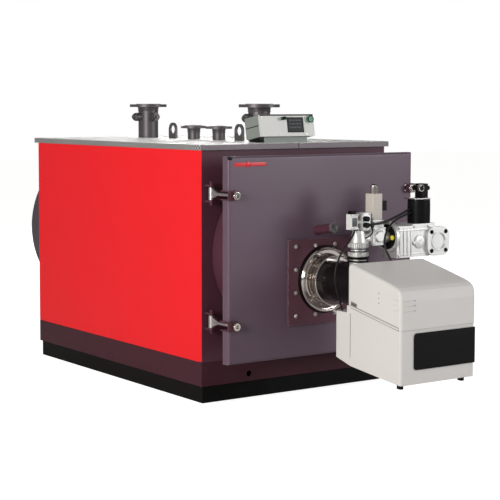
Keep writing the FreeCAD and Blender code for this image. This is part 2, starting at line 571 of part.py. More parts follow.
lower = [(HOOD_REAR, SEAM_REAR - GAP), (HOOD_FRONT + SEAM_STEP, SEAM_FRONT + slope * SEAM_STEP - GAP),
         (HOOD_FRONT + SEAM_STEP, 226),
         (-760, 266), (-719, 271), (HOUSING_REAR, HOUSING_LOW), (HOUSING_REAR, house_top), (HOOD_REAR, house_top)]
house = prism_x(lower, HOOD_X0 + SEAM_STEP, HOOD_X1 - SEAM_STEP)
house = rounded(house, HOOD_EDGE - SEAM_STEP, lambda m, l: near(m.y, Y0 + HOOD_FRONT + SEAM_STEP) and
                l < HOOD_X1 - HOOD_X0 - 20)
house = rounded(house, HOUSING_CORNER, lambda m, l: near(m.y, Y0 + HOUSING_REAR) and
                near(l, house_top - HOUSING_LOW))
save("burner_housing", house)
fascia = box(FASCIA[0], FASCIA[1], HOOD_FRONT - FASCIA_OUT, HOOD_FRONT + SEAM_STEP, FASCIA[2], FASCIA[3])
save("burner_fascia", rounded(fascia, 16.0, lambda m, l: near(l, FASCIA_OUT + SEAM_STEP) and m.x < 0))
save("burner_feet", [box(x - 9, x + 9, HOOD_FRONT + 20, HOOD_FRONT + 50, 205, 240).cut(house) for x in FOOT_X])

# ---- gas train: inlet rings on the neck, elbow into the run ----
neck_solid = cyl(NECK_R + GAP, DOOR_FRONT - HOOD_FRONT, 0, HOOD_FRONT, FIRE_Z, ALONG_Y)
stack = [(0, 740), (46, 740), (46, 812), (54, 812), (54, 834), (42, 836), (42, 856), (53, 860), (53, 884),
         (45, 886), (38, 915), (30, 947), (0, 947)]
inlet = turned_z(stack, 0, RUN_Y).fuse(cyl(RUN_R, V1_X[0], 0, RUN_Y, RUN_Z, ALONG_X))
save("gas_inlet", inlet.cut(neck_solid).removeSplitter())

body = fuse([box(*V1_X, RUN_Y - V1_HD, RUN_Y + V1_HD, *V1_Z),
             box(V1_X[0] + 18, V1_X[1], RUN_Y - 30, RUN_Y + 30, V1_Z[1], ACT_Z[0]),
             cyl(RUN_R, V2_X[0] - V1_X[1], V1_X[1], RUN_Y, RUN_Z, ALONG_X)])
save("valve_body", body)
actuator = box(*ACT_X, RUN_Y - ACT_HD, RUN_Y + ACT_HD, *ACT_Z)
save("valve_actuator", rounded(actuator, 6.0, lambda m, l: near(l, ACT_Z[1] - ACT_Z[0])))
cap_x = (ACT_X[0] + ACT_X[1]) / 2.0
save("actuator_cap", fuse([cyl(CAP_R, CAP_H, cap_x, RUN_Y, ACT_Z[1], UP),
                           cyl(10, 12, cap_x, RUN_Y, ACT_Z[1] + CAP_H, UP)]))
save("test_block", fuse([box(*BLOCK_X, RUN_Y - BLOCK_HD, RUN_Y + BLOCK_HD, *BLOCK_Z),
                         cyl(12, BLOCK_X[0] - SWITCH_X[1], SWITCH_X[1], RUN_Y, 992, ALONG_X)]))
save("test_knobs", [cyl(13, 26, KNOB_X, RUN_Y - BLOCK_HD, z, FORWARD) for z in KNOB_Z])
switch = box(*SWITCH_X, RUN_Y - SWITCH_HD, RUN_Y + SWITCH_HD, *SWITCH_Z)
save("pressure_switch", rounded(switch, 5.0, lambda m, l: near(l, SWITCH_Z[1] - SWITCH_Z[0])))

# second valve: round inlet flange, cast body, coil, and the square port to the front
valve = [box(V2_X[0] + V2_FLANGE_T, V2_X[1], RUN_Y - V2_HD, RUN_Y + V2_HD, *V2_Z),
         cyl(V2_HD + 2, 2 * V2_HD - 2, PORT_X, RUN_Y + V2_HD - 2, PORT_Z, FORWARD),
         box(V2_X[1] - 10, PORT_X, RUN_Y - V2_HD + 10, RUN_Y + V2_HD - 10, PORT_Z - 60, PORT_Z + 60),
         box(V2_X[0] + 130, V2_X[1] + 42, RUN_Y - V2_HD, RUN_Y + V2_HD + 6, V2_Z[1] - 12, COIL_Z[0])]
save("gas_valve", fuse(valve))
port_y = RUN_Y - V2_HD
port = box(PORT_X - PORT_HW, PORT_X + PORT_HW, port_y - PORT_T, port_y, PORT_Z - PORT_HW, PORT_Z + PORT_HW)
port = rounded(port, PORT_ROUND, lambda m, l: near(l, PORT_T)).cut(
    cyl(PORT_SEAT, 6, PORT_X, port_y - PORT_T - 1, PORT_Z, ALONG_Y))
for i in range(4):
    a = math.radians(45 + 90 * i)
    port = port.cut(cyl(PORT_HOLE, 3 * PORT_T, PORT_X + PORT_PCD / 2 * math.cos(a), port_y - 2 * PORT_T,
                        PORT_Z + PORT_PCD / 2 * math.sin(a), ALONG_Y))
save("gas_flanges", [cyl(V2_FLANGE_R, V2_FLANGE_T, V2_X[0], RUN_Y, RUN_Z, ALONG_X), port])
save("gas_coil", cyl(COIL_R, COIL_Z[1] - COIL_Z[0], COIL_X, RUN_Y, COIL_Z[0], UP))
save("coil_plate", box(COIL_X - 70, COIL_X + 44, RUN_Y - 45, RUN_Y + 45, COIL_Z[1], COIL_Z[1] + 6))
plug_z = COIL_Z[1] + 6
plug = fuse([box(COIL_X - 4, COIL_X + 40, RUN_Y - 28, RUN_Y + 28, plug_z, plug_z + 77),
             cyl(12, 22, COIL_X + 40, RUN_Y - 8, plug_z + 52, ALONG_X),
             cyl(14, 60, COIL_X - 15, RUN_Y + 24, plug_z + 55, FORWARD)])
save("connectors", [box(ACT_X[1], ACT_X[1] + 30, RUN_Y - 30, RUN_Y, 1050, 1102), plug,
                    box(SWITCH_X[0] + 8, SWITCH_X[1] - 6, RUN_Y - 14, RUN_Y + 14, SWITCH_Z[1], SWITCH_Z[1] + 17)])


# ---- cables: straight runs joined by tangent arcs ----
def cord(points, r):
    p = [V(x, Y0 + y, z) for x, y, z in points]
    edges, start = [], p[0]
    for a, b, c in zip(p, p[1:], p[2:]):
        back, on = (a - b), (c - b)
        reach = 0.45 * min(back.Length, on.Length)
        back.normalize()
        on.normalize()
        half = (math.pi - back.getAngle(on)) / 2.0
        bend = reach / math.tan(half)
        inward = (back + on).normalize()
        middle = b + inward * (bend / math.cos(half) - bend)
        edges += [Part.makeLine(start, b + back * reach), Part.Arc(b + back * reach, middle, b + on * reach).toShape()]
        start = b + on * reach
    edges.append(Part.makeLine(start, p[-1]))
    profile = Part.Wire([Part.makeCircle(r, p[0], p[1] - p[0])])
    return Part.Wire(edges).makePipeShell([profile], True, True)


CABLES = (
    ("switch_cable", 5.0, ((-30, -552, 960), (-78, -592, 925), (-150, -600, 860), (-200, -604, 790),
                           (-213, -606, 705), (-192, -610, 620), (-168, -625, 530))),
    ("coil_cable", 6.5, ((370, -540, 1052), (283, -565, 1027), (197, -592, 1008), (119, -602, 987),
                         (54, -600, 982), (18, -588, 979))),
    ("limit_cable", 5.5, ((370, -552, 1034), (273, -575, 1013), (192, -603, 994), (118, -634, 955),
                          (75, -660, 900), (70, -680, 845), (92, -712, 785))),
    ("test_cable", 4.0, ((50, -566, 985), (54, -598, 962), (44, -600, 925), (20, -560, 902))),
)
for name, r, points in CABLES:
    save(name, cord(points, r))
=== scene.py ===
import bpy
import bmesh
from math import cos, hypot, pi, radians, sin
from mathutils import Matrix, Vector


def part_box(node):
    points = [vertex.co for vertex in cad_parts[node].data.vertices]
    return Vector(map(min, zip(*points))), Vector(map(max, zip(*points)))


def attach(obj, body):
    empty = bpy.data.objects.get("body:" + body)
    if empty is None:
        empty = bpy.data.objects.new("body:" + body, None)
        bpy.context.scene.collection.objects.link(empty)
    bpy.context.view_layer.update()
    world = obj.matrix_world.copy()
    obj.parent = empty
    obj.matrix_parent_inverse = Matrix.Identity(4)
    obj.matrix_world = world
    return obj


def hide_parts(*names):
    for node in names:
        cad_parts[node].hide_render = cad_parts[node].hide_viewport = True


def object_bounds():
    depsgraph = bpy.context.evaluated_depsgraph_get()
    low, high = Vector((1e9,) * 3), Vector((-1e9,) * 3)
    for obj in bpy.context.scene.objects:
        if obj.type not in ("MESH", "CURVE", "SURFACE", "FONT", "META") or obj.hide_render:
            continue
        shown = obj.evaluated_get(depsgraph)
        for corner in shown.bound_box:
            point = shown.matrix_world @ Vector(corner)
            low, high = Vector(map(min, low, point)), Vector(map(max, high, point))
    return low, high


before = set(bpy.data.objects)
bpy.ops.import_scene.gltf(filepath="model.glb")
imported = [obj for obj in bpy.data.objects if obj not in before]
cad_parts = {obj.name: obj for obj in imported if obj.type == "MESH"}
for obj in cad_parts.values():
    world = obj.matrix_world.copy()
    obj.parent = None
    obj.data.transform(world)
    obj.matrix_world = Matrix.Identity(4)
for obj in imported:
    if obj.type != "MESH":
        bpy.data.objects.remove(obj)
cad_low, cad_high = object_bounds()


# ---------------------------------------------------------------- base
# Folded steel channels, welded into a ladder and painted black. The plinth
# band above is folded sheet with one plain hole; its darker purple grey is painted shade.

def wired(tree, node_type, inputs=(), **settings):
    """Adds a node, sets its properties, and fills or links its inputs by name or number."""
    node = tree.nodes.new(node_type)
    for key, value in settings.items():
        setattr(node, key, value)
    for key, value in dict(inputs).items():
        if isinstance(value, bpy.types.NodeSocket):
            tree.links.new(value, node.inputs[key])
        else:
            node.inputs[key].default_value = value
    return node


def group(name, inputs, outputs):
    tree = bpy.data.node_groups.new(name, "ShaderNodeTree")
    for label, kind, value in inputs:
        socket = tree.interface.new_socket(label, in_out="INPUT", socket_type="NodeSocket" + kind)
        socket.default_value = value
    for label, kind in outputs:
        tree.interface.new_socket(label, in_out="OUTPUT", socket_type="NodeSocket" + kind)
    return tree, tree.nodes.new("NodeGroupInput").outputs, tree.nodes.new("NodeGroupOutput").inputs


def math(tree, op, a, b=0.0, clamp=False):
    return wired(tree, "ShaderNodeMath", {0: a, 1: b}, operation=op, use_clamp=clamp).outputs[0]


def blend(tree, factor, a, b):
    """Colour a where the factor is 0, and b where it is 1."""
    return wired(tree, "ShaderNodeMix", {"Factor": factor, 6: a, 7: b}, data_type="RGBA").outputs[2]


def ramp(tree, value, low, high):
    """0 below low, 1 above high, and smooth between."""
    return wired(tree, "ShaderNodeMapRange", {"Value": value, "From Min": low, "From Max": high},
                 interpolation_type="SMOOTHSTEP").outputs[0]


def skin_group():
    """Fine bump of sprayed or moulded surfaces, with slow changes of shade and gloss."""
    tree, given, out = group("sprayed_skin", [
        ("Colour", "Color", (0.5, 0.5, 0.5, 1)), ("Grain Scale", "Float", 300.0),
        ("Grain Depth", "Float", 0.02),
        ("Shade Change", "Float", 0.1), ("Roughness", "Float", 0.45), ("Edge Radius", "Float", 0.002)],
        [("Colour", "Color"), ("Roughness", "Float"), ("Normal", "Vector")])
    place = wired(tree, "ShaderNodeTexCoord").outputs["Object"]
    fine = wired(tree, "ShaderNodeTexNoise",
                 {"Vector": place, "Scale": given["Grain Scale"], "Detail": 3.0}).outputs[0]
    slow = wired(tree, "ShaderNodeTexNoise", {"Vector": place, "Scale": 2.3, "Detail": 4.0}).outputs[0]
    round_edge = wired(tree, "ShaderNodeBevel", {"Radius": given["Edge Radius"]}, samples=4).outputs[0]
    bump = wired(tree, "ShaderNodeBump", {"Strength": given["Grain Depth"], "Distance": 0.001,
                                          "Height": fine, "Normal": round_edge})
    shade = math(tree, "MULTIPLY", math(tree, "SUBTRACT", slow, 0.5), given["Shade Change"])
    lit = wired(tree, "ShaderNodeHueSaturation",
                {"Value": math(tree, "ADD", shade, 1.0), "Color": given["Colour"]})
    gloss = math(tree, "ADD", given["Roughness"],
                 math(tree, "MULTIPLY", math(tree, "SUBTRACT", slow, 0.5), 0.22))
    tree.links.new(lit.outputs[0], out["Colour"])
    tree.links.new(gloss, out["Roughness"])
    tree.links.new(bump.outputs[0], out["Normal"])
    return tree


def edge_wear_and_highlight_group():
    """Mask that is 1 along outer edges, broken up by noise, for edge wear and painted edge highlights."""
    tree, given, out = group("rubbed_and_highlighted_edges", [("Width", "Float", 0.003), ("Amount", "Float", 0.5)],
                             [("Mask", "Float")])
    place = wired(tree, "ShaderNodeTexCoord").outputs["Object"]
    flat = wired(tree, "ShaderNodeNewGeometry").outputs["Normal"]
    soft = wired(tree, "ShaderNodeBevel", {"Radius": given["Width"]}, samples=4).outputs[0]
    same = wired(tree, "ShaderNodeVectorMath", {0: flat, 1: soft}, operation="DOT_PRODUCT").outputs["Value"]
    edge = ramp(tree, math(tree, "SUBTRACT", 1.0, same), 0.02, 0.2)
    rough = wired(tree, "ShaderNodeTexNoise", {"Vector": place, "Scale": 35.0, "Detail": 5.0}).outputs[0]
    broken = math(tree, "MULTIPLY", edge, ramp(tree, rough, 0.38, 0.62))
    tree.links.new(math(tree, "MULTIPLY", broken, given["Amount"], True), out["Mask"])
    return tree


def dust_group():
    """Mask of the dust that settles on faces that look up, thicker near the floor."""
    tree, given, out = group("settled_dust", [("Amount", "Float", 0.3), ("Height", "Float", 0.6)],
                             [("Mask", "Float")])
    place = wired(tree, "ShaderNodeTexCoord").outputs["Object"]
    up = wired(tree, "ShaderNodeSeparateXYZ",
               {0: wired(tree, "ShaderNodeNewGeometry").outputs["Normal"]}).outputs[2]
    z = wired(tree, "ShaderNodeSeparateXYZ", {0: place}).outputs[2]
    low = math(tree, "SUBTRACT", 1.0, math(tree, "DIVIDE", z, given["Height"], True), True)
    patch = wired(tree, "ShaderNodeTexNoise", {"Vector": place, "Scale": 9.0, "Detail": 6.0}).outputs[0]
    lying = math(tree, "ADD", ramp(tree, up, 0.55, 0.95), math(tree, "MULTIPLY", low, 0.35))
    mask = math(tree, "MULTIPLY", math(tree, "MULTIPLY", lying, ramp(tree, patch, 0.3, 0.75)),
                given["Amount"], True)
    tree.links.new(mask, out["Mask"])
    return tree


SKIN, EDGE_WEAR_AND_HIGHLIGHT, DUST = skin_group(), edge_wear_and_highlight_group(), dust_group()


def finish(name, colour, roughness=0.45, metallic=0.0, grain=300.0, depth=0.05, shade=0.12, edge=0.002,
           bare_and_highlight_colour=None, edge_wear_and_highlight=0.0, width=0.003, dust=0.0, dust_height=0.5, coat=0.0, specular=0.5):
    """A material whose colour, gloss and bump come from the skin, edge and dust groups; its lighter edge
    colour is wear, and on some finishes painted highlight.
    """
    material = bpy.data.materials.new(name)
    material.use_nodes = True
    tree = material.node_tree
    principled = tree.nodes["Principled BSDF"]
    skin = wired(tree, "ShaderNodeGroup", node_tree=SKIN)
    for key, value in (("Colour", colour + (1,)), ("Grain Scale", grain), ("Grain Depth", depth),
                       ("Shade Change", shade), ("Roughness", roughness), ("Edge Radius", edge)):
        skin.inputs[key].default_value = value
    colour_out, rough_out = skin.outputs["Colour"], skin.outputs["Roughness"]
    principled.inputs["Metallic"].default_value = metallic
    if edge_wear_and_highlight:
        edge_mask = wired(tree, "ShaderNodeGroup", node_tree=EDGE_WEAR_AND_HIGHLIGHT)
        edge_mask.inputs["Width"].default_value = width
        edge_mask.inputs["Amount"].default_value = edge_wear_and_highlight
        colour_out = blend(tree, edge_mask.outputs[0], colour_out, bare_and_highlight_colour + (1,))
        rough_out = math(tree, "SUBTRACT", rough_out, math(tree, "MULTIPLY", edge_mask.outputs[0], 0.12))
    if dust:
        dusty = wired(tree, "ShaderNodeGroup", node_tree=DUST)
        dusty.inputs["Amount"].default_value = dust
        dusty.inputs["Height"].default_value = dust_height
        colour_out = blend(tree, dusty.outputs[0], colour_out, (0.42, 0.39, 0.36, 1))
        rough_out = math(tree, "ADD", rough_out, math(tree, "MULTIPLY", dusty.outputs[0], 0.4), True)
    tree.links.new(colour_out, principled.inputs["Base Color"])
    tree.links.new(rough_out, principled.inputs["Roughness"])
    tree.links.new(skin.outputs["Normal"], principled.inputs["Normal"])
    principled.inputs["Coat Weight"].default_value = coat
    principled.inputs["Coat Roughness"].default_value = 0.1
    principled.inputs["Specular IOR Level"].default_value = specular
    return material


def dress(material, *names):
    """Gives CAD nodes their material, in every slot they have."""
    for name in names:
        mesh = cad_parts[name].data
        if not mesh.materials:
            mesh.materials.append(material)
        for i in range(len(mesh.materials)):
            mesh.materials[i] = material


black_paint = finish("base_black", (0.003, 0.003, 0.003), 0.5, grain=260, depth=0.12, shade=0.35,
                     bare_and_highlight_colour=(0.018, 0.018, 0.018), edge_wear_and_highlight=0.5, width=0.004, dust=0.02, dust_height=0.12,
                     specular=0.1)
dress(black_paint, "base_rails", "cross_members", "saddles")
# Painted shade: the plinth takes the casing's purple grey made darker, for the shade low on the boiler.
plinth_shaded_paint = finish("plinth_purple_painted_shade", (0.050, 0.014, 0.021), 0.45, grain=420, depth=0.06, shade=0.12,
                      bare_and_highlight_colour=(0.10, 0.055, 0.07), edge_wear_and_highlight=0.3, width=0.0035, dust=0.05, dust_height=0.3,
                      specular=0.15)
dress(plinth_shaded_paint, "plinth_band")


# ---------------------------------------------------------------- casing
# Insulated panels: the long side skins are red powder coat on folded sheet,
# and the front and rear panels are purple grey. The rear one is screwed on.

def made(name, mesh, material, body):
    """A finished mesh as a piece of the object, with flat faces kept flat."""
    obj = bpy.data.objects.new(name, mesh)
    bpy.context.scene.collection.objects.link(obj)
    if not mesh.materials:
        mesh.materials.append(material)
    mesh.polygons.foreach_set("use_smooth", [True] * len(mesh.polygons))
    mesh.set_sharp_from_angle(angle=radians(35))
    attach(obj, body)
    return obj


def repeater(name, settings, shape):
    """Tree that puts a shape on each vertex, turned to its direction, and ends in one plain mesh."""
    tree = bpy.data.node_groups.new(name, "GeometryNodeTree")
    tree.interface.new_socket("Geometry", in_out="INPUT", socket_type="NodeSocketGeometry")
    for label, kind, value in settings + [("Spin Seed", "Int", 3), ("Spin", "Float", 0.0),
                                          ("Finish", "Material", None)]:
        socket = tree.interface.new_socket(label, in_out="INPUT", socket_type="NodeSocket" + kind)
        if value is not None:
            socket.default_value = value
    tree.interface.new_socket("Geometry", in_out="OUTPUT", socket_type="NodeSocketGeometry")
    given = tree.nodes.new("NodeGroupInput").outputs
    axis = wired(tree, "GeometryNodeInputNamedAttribute", {"Name": "axis"},
                 data_type="FLOAT_VECTOR").outputs[0]
    up = wired(tree, "GeometryNodeInputNamedAttribute", {"Name": "along"},
               data_type="FLOAT_VECTOR").outputs[0]
    aimed = wired(tree, "FunctionNodeAlignRotationToVector", {"Vector": axis}, axis="Z")
    laid = wired(tree, "FunctionNodeAlignRotationToVector", {"Rotation": aimed.outputs[0], "Vector": up},
                 axis="X", pivot_axis="Z")
    chance = wired(tree, "FunctionNodeRandomValue", {2: 0.0, 3: given["Spin"], "Seed": given["Spin Seed"]},
                   data_type="FLOAT").outputs[1]
    spin = wired(tree, "ShaderNodeCombineXYZ", {2: chance}).outputs[0]
    turn = wired(tree, "FunctionNodeRotateRotation", {"Rotation": laid.outputs[0], "Rotate By": spin},
                 rotation_space="LOCAL").outputs[0]
    put = wired(tree, "GeometryNodeInstanceOnPoints",
                {"Points": given["Geometry"], "Instance": shape(tree, given), "Rotation": turn})
    real = wired(tree, "GeometryNodeRealizeInstances", {"Geometry": put.outputs[0]})
    done = wired(tree, "GeometryNodeSetMaterial", {"Geometry": real.outputs[0], "Material": given["Finish"]})
    wired(tree, "NodeGroupOutput", {"Geometry": done.outputs[0]})
    return tree


def repeat(name, tree, spots, sizes, material, body):
    """Runs a repeater on spots of (point, axis, along) and keeps the plain mesh it makes."""
    mesh = bpy.data.meshes.new(name + "_spots")
    mesh.from_pydata([s[0] for s in spots], [], [])
    for label, column in (("axis", 1), ("along", 2)):
        layer = mesh.attributes.new(label, "FLOAT_VECTOR", "POINT")
        layer.data.foreach_set("vector", [c for s in spots for c in s[column]])
    holder = bpy.data.objects.new(name + "_spots", mesh)
    bpy.context.scene.collection.objects.link(holder)
    modifier = holder.modifiers.new("repeat", "NODES")
    modifier.node_group = tree
    sockets = {s.name: s.identifier for s in tree.interface.items_tree if s.in_out == "INPUT"}
    for key, value in list(sizes.items()) + [("Finish", material)]:
        modifier[sockets[key]] = value
    result = bpy.data.meshes.new_from_object(holder.evaluated_get(bpy.context.evaluated_depsgraph_get()))
    bpy.data.objects.remove(holder)
    for label in ("axis", "along"):
        if label in result.attributes:
            result.attributes.remove(result.attributes[label])
    return made(name, result, material, body)


def moved(tree, geometry, z, scale=(1, 1, 1)):
    """Geometry scaled, then lifted to height z."""
    place = wired(tree, "ShaderNodeCombineXYZ", {2: z}).outputs[0]
    return wired(tree, "GeometryNodeTransform",
                 {"Geometry": geometry, "Translation": place, "Scale": scale}).outputs[0]


def disc(tree, sides, radius, top, depth, low):
    """Prism or frustum that stands on height low."""
    cone = wired(tree, "GeometryNodeMeshCone", {"Vertices": sides, "Radius Top": top, "Radius Bottom": radius,
                                                "Depth": depth}).outputs["Mesh"]
    return moved(tree, cone, low)


def bolt_shape(tree, given):
    """Washer, hexagon head with a chamfered crown, and the end of the thread."""
    r, h = given["Head Radius"], given["Head Height"]
    rim, face = math(tree, "MULTIPLY", r, 1.32), math(tree, "MULTIPLY", r, 1.27)
    washer = disc(tree, 24, rim, face, given["Washer"], 0.0)
    body = disc(tree, 6, r, r, math(tree, "MULTIPLY", h, 0.78), given["Washer"])
    crown_low = math(tree, "ADD", given["Washer"], math(tree, "MULTIPLY", h, 0.78))
    crown = disc(tree, 6, r, math(tree, "MULTIPLY", r, 0.8), math(tree, "MULTIPLY", h, 0.22), crown_low)
    thread = disc(tree, 16, given["Thread Radius"], math(tree, "MULTIPLY", given["Thread Radius"], 0.86),
                  given["Thread"], math(tree, "ADD", given["Washer"], h))
    joined = tree.nodes.new("GeometryNodeJoinGeometry")
    for part in (thread, crown, body, washer):
        tree.links.new(part, joined.inputs[0])
    return joined.outputs[0]


BOLTS = repeater("hexagon_bolts", [
    ("Head Radius", "Float", 0.01), ("Head Height", "Float", 0.007), ("Washer", "Float", 0.002),
    ("Thread Radius", "Float", 0.005), ("Thread", "Float", 0.004)], bolt_shape)


def bolts(name, spots, head, material, body, thread=0.0):
    """Hexagon bolts or nuts, with the head's radius over its corners in millimetres."""
    head /= 1000
    sizes = {"Head Radius": head, "Head Height": head * 0.75, "Washer": head * 0.2,
             "Thread Radius": head * 0.5, "Thread": max(thread / 1000, head * 0.02), "Spin": pi}
    return repeat(name, BOLTS, spots, sizes, material, body)


zinc = finish("zinc_plate", (0.62, 0.62, 0.60), 0.32, 1.0, grain=700, depth=0.04, shade=0.2, edge=0.0008)
SIDE, FRONT, BACK, TOP = Vector((1, 0, 0)), Vector((0, -1, 0)), Vector((0, 1, 0)), Vector((0, 0, 1))
casing_paint = finish("casing_purple_grey", (0.080, 0.027, 0.043), 0.42, grain=420, depth=0.06, shade=0.12,
                      bare_and_highlight_colour=(0.14, 0.085, 0.105), edge_wear_and_highlight=0.3, width=0.0035, dust=0.04, dust_height=0.35,
                      specular=0.22)
red_paint = finish("panel_red", (0.80, 0.012, 0.018), 0.40, grain=520, depth=0.05, shade=0.05,
                   bare_and_highlight_colour=(0.88, 0.07, 0.07), edge_wear_and_highlight=0.25, width=0.003, dust=0.02, dust_height=0.4, specular=0.15)
dress(red_paint, "side_panels")
dress(casing_paint, "front_panel", "rear_panel")
rear_low, rear_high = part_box("rear_panel")
screw_x = rear_high.x - 0.022
rows = 8
lowest = rear_low.z + 0.05
step = (rear_high.z - rear_low.z - 0.1) / (rows - 1)
screws = []
for i in range(rows):
    screws += [(Vector((s * screw_x, rear_high.y, lowest + i * step)), BACK, TOP) for s in (-1, 1)]
bolts("rear_panel_screws", screws, 6.5, zinc, "boiler")


# -------------------------------------------------------- pressure vessel
# Rolled and welded boiler plate. The shell's ends are painted, while furnace,
# tube plates and smoke tubes inside carry blue-grey mill scale and soot.

scale_steel = finish("mill_scale", (0.115, 0.108, 0.105), 0.5, 0.85, grain=120, depth=0.25, shade=0.6,
                     bare_and_highlight_colour=(0.35, 0.32, 0.30), edge_wear_and_highlight=0.4, width=0.004)
dress(casing_paint, "boiler_shell", "front_collar")
dress(scale_steel, "tube_plates", "furnace", "furnace_end", "smoke_tubes")


def weld_shape(tree, given):
    """Ring of weld metal."""
    path = wired(tree, "GeometryNodeCurvePrimitiveCircle",
                 {"Resolution": 28, "Radius": given["Ring"]}).outputs[0]
    bead = wired(tree, "GeometryNodeCurvePrimitiveCircle",
                 {"Resolution": 8, "Radius": given["Bead"]}).outputs[0]
    return wired(tree, "GeometryNodeCurveToMesh", {"Curve": path, "Profile Curve": bead}).outputs[0]


WELDS = repeater("weld_rings", [("Ring", "Float", 0.03), ("Bead", "Float", 0.002)], weld_shape)
tube_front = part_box("smoke_tubes")[0].y
tube_width = 0.068
ends = [v.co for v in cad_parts["smoke_tubes"].data.vertices if v.co.y < tube_front + 0.001]
rims = []
for p in ends:
    found = next((rim for rim in rims if hypot(rim[0].x - p.x, rim[0].z - p.z) < tube_width), None)
    if found:
        found.append(p)
    else:
        rims.append([p])
plate_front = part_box("tube_plates")[0].y
spots = []
for rim in rims:
    x = (min(p.x for p in rim) + max(p.x for p in rim)) / 2
    z = (min(p.z for p in rim) + max(p.z for p in rim)) / 2
    spots.append((Vector((x, plate_front, z)), FRONT, TOP))
weld = finish("weld_metal", (0.17, 0.165, 0.16), 0.42, 0.9, grain=500, depth=0.5, shade=0.5)
repeat("tube_welds", WELDS, spots, {"Ring": 0.0335, "Bead": 0.0022}, weld, "boiler")


# ------------------------------------------------------------ smoke box
# A rolled drum on the back of the shell, with a bolted cover and the flue
# spigot welded into it. Painted with dark heat-resistant paint.

def around(count, first=0.0):
    """Cosine and sine of evenly spaced angles, starting that many steps round."""
    return [(cos(2 * pi * (i + first) / count), sin(2 * pi * (i + first) / count)) for i in range(count)]


smoke_paint = finish("smoke_box_paint", (0.060, 0.050, 0.060), 0.55, grain=260, depth=0.1, shade=0.25,
                     bare_and_highlight_colour=(0.13, 0.12, 0.12), edge_wear_and_highlight=0.4, width=0.004, dust=0.1)
dress(smoke_paint, "smoke_box", "smoke_box_cover", "flue_spigot")
cover_low, cover_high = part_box("smoke_box_cover")
axis_z = (cover_low.z + cover_high.z) / 2
bolt_ring = 0.515
spots = [(Vector((bolt_ring * c, cover_high.y, axis_z + bolt_ring * s)), BACK, TOP)
         for c, s in around(20, 0.5)]
bolts("smoke_box_bolts", spots, 10.5, zinc, "boiler")
spigot = [(Vector((0, cover_high.y, axis_z)), BACK, TOP)]
repeat("flue_weld", WELDS, spigot, {"Ring": 0.1765, "Bead": 0.0045}, smoke_paint, "boiler")


# ---------------------------------------------------------------- deck
# Aluminium tread plate in four pieces, folded down at the outside. Raised
# lens-shaped bars are rolled into it, each at right angles to its neighbours,
# and painted shade darkens the hollows between them on the folded edges.

deck_metal = finish("tread_aluminium", (0.90, 0.90, 0.89), 0.34, 0.75, grain=90, depth=0.03, shade=0.12,
                    edge=0.003, dust=0.1, dust_height=0.1)
dress(deck_metal, "deck_plates")
tree = deck_metal.node_tree
place = wired(tree, "ShaderNodeTexCoord")
facing = wired(tree, "ShaderNodeVectorMath", {0: place.outputs["Normal"]}, operation="ABSOLUTE").outputs[0]
sideways = wired(tree, "ShaderNodeSeparateXYZ", {0: facing}).outputs[0]
along = wired(tree, "ShaderNodeSeparateXYZ", {0: place.outputs["Object"]})
# The pattern's waves turn through this many radians a metre, one bar in about 26 mm.
wave_rate = 242.0
waves = [math(tree, "SINE", math(tree, "MULTIPLY", along.outputs[i], wave_rate)) for i in (1, 2)]
weave = math(tree, "MULTIPLY", waves[0], waves[1])
# Painted shade: the hollows of the tread pattern on the folded side faces are darkened towards black.
hollows = math(tree, "MULTIPLY", ramp(tree, weave, -0.6, 0.1), ramp(tree, sideways, 0.8, 0.9))
hollow_shade = math(tree, "MULTIPLY", hollows, 0.75)
deck_base = tree.nodes["Principled BSDF"].inputs["Base Color"]
tree.links.new(blend(tree, hollow_shade, deck_base.links[0].from_socket, (0.03, 0.03, 0.03, 1)), deck_base)
trim_grey = finish("trim_grey", (0.145, 0.120, 0.132), 0.4, 0.2, grain=420, depth=0.06, shade=0.2,
                   bare_and_highlight_colour=(0.5, 0.48, 0.49), edge_wear_and_highlight=0.7, width=0.003)
dress(trim_grey, "deck_trims")


def bar_shape(tree, given):
    """One rolled-up bar, pointed at both ends."""
    ball = wired(tree, "GeometryNodeMeshUVSphere", {"Segments": 8, "Rings": 4, "Radius": 0.5}).outputs["Mesh"]
    size = wired(tree, "ShaderNodeCombineXYZ",
                 {0: given["Bar Length"], 1: given["Bar Width"], 2: given["Bar Height"]})
    return moved(tree, ball, 0.0, size.outputs[0])


BARS = repeater("tread_bars", [("Bar Length", "Float", 0.03), ("Bar Width", "Float", 0.006),
                               ("Bar Height", "Float", 0.003)], bar_shape)
bar_pitch = 0.026
deck_low, deck_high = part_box("deck_plates")
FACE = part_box("front_panel")[0].y
MAIN_Y, SMALL_Y, EYE_Y = (360, 1590), (776, 1051), (560, 1290)
holes = [(y / 1000, r) for places, r in ((MAIN_Y, 0.078), (SMALL_Y, 0.052), (EYE_Y, 0.054)) for y in places]
seam = FACE + 0.966
gap = 0.012
for part, y0, y1 in (("front", deck_low.y, seam), ("rear", seam, deck_high.y)):
    spots = []
    for i in range(int((deck_high.x - deck_low.x) / bar_pitch)):
        for j in range(int((y1 - y0) / bar_pitch)):
            p = Vector((deck_low.x + 0.019 + i * bar_pitch, y0 + 0.02 + j * bar_pitch, deck_high.z))
            clear = all(hypot(p.x, p.y - FACE - y) > r + 0.014 for y, r in holes)
            inside = p.y < y1 - gap and p.x < deck_high.x - gap
            if clear and inside and abs(p.x) > 0.010:
                s = 1 if (i + j) % 2 else -1
                spots.append((p, TOP, Vector((1, s, 0)).normalized()))
    repeat("tread_bars_" + part, BARS, spots,
           {"Bar Length": 0.026, "Bar Width": 0.0065, "Bar Height": 0.0032},
           deck_metal, "boiler")


# -------------------------------------------------------------- nozzles
# Pipe stubs with forged weld-neck flanges stand through the deck, with
# sensor pockets welded on, and two lifting eyes cut from thick plate.

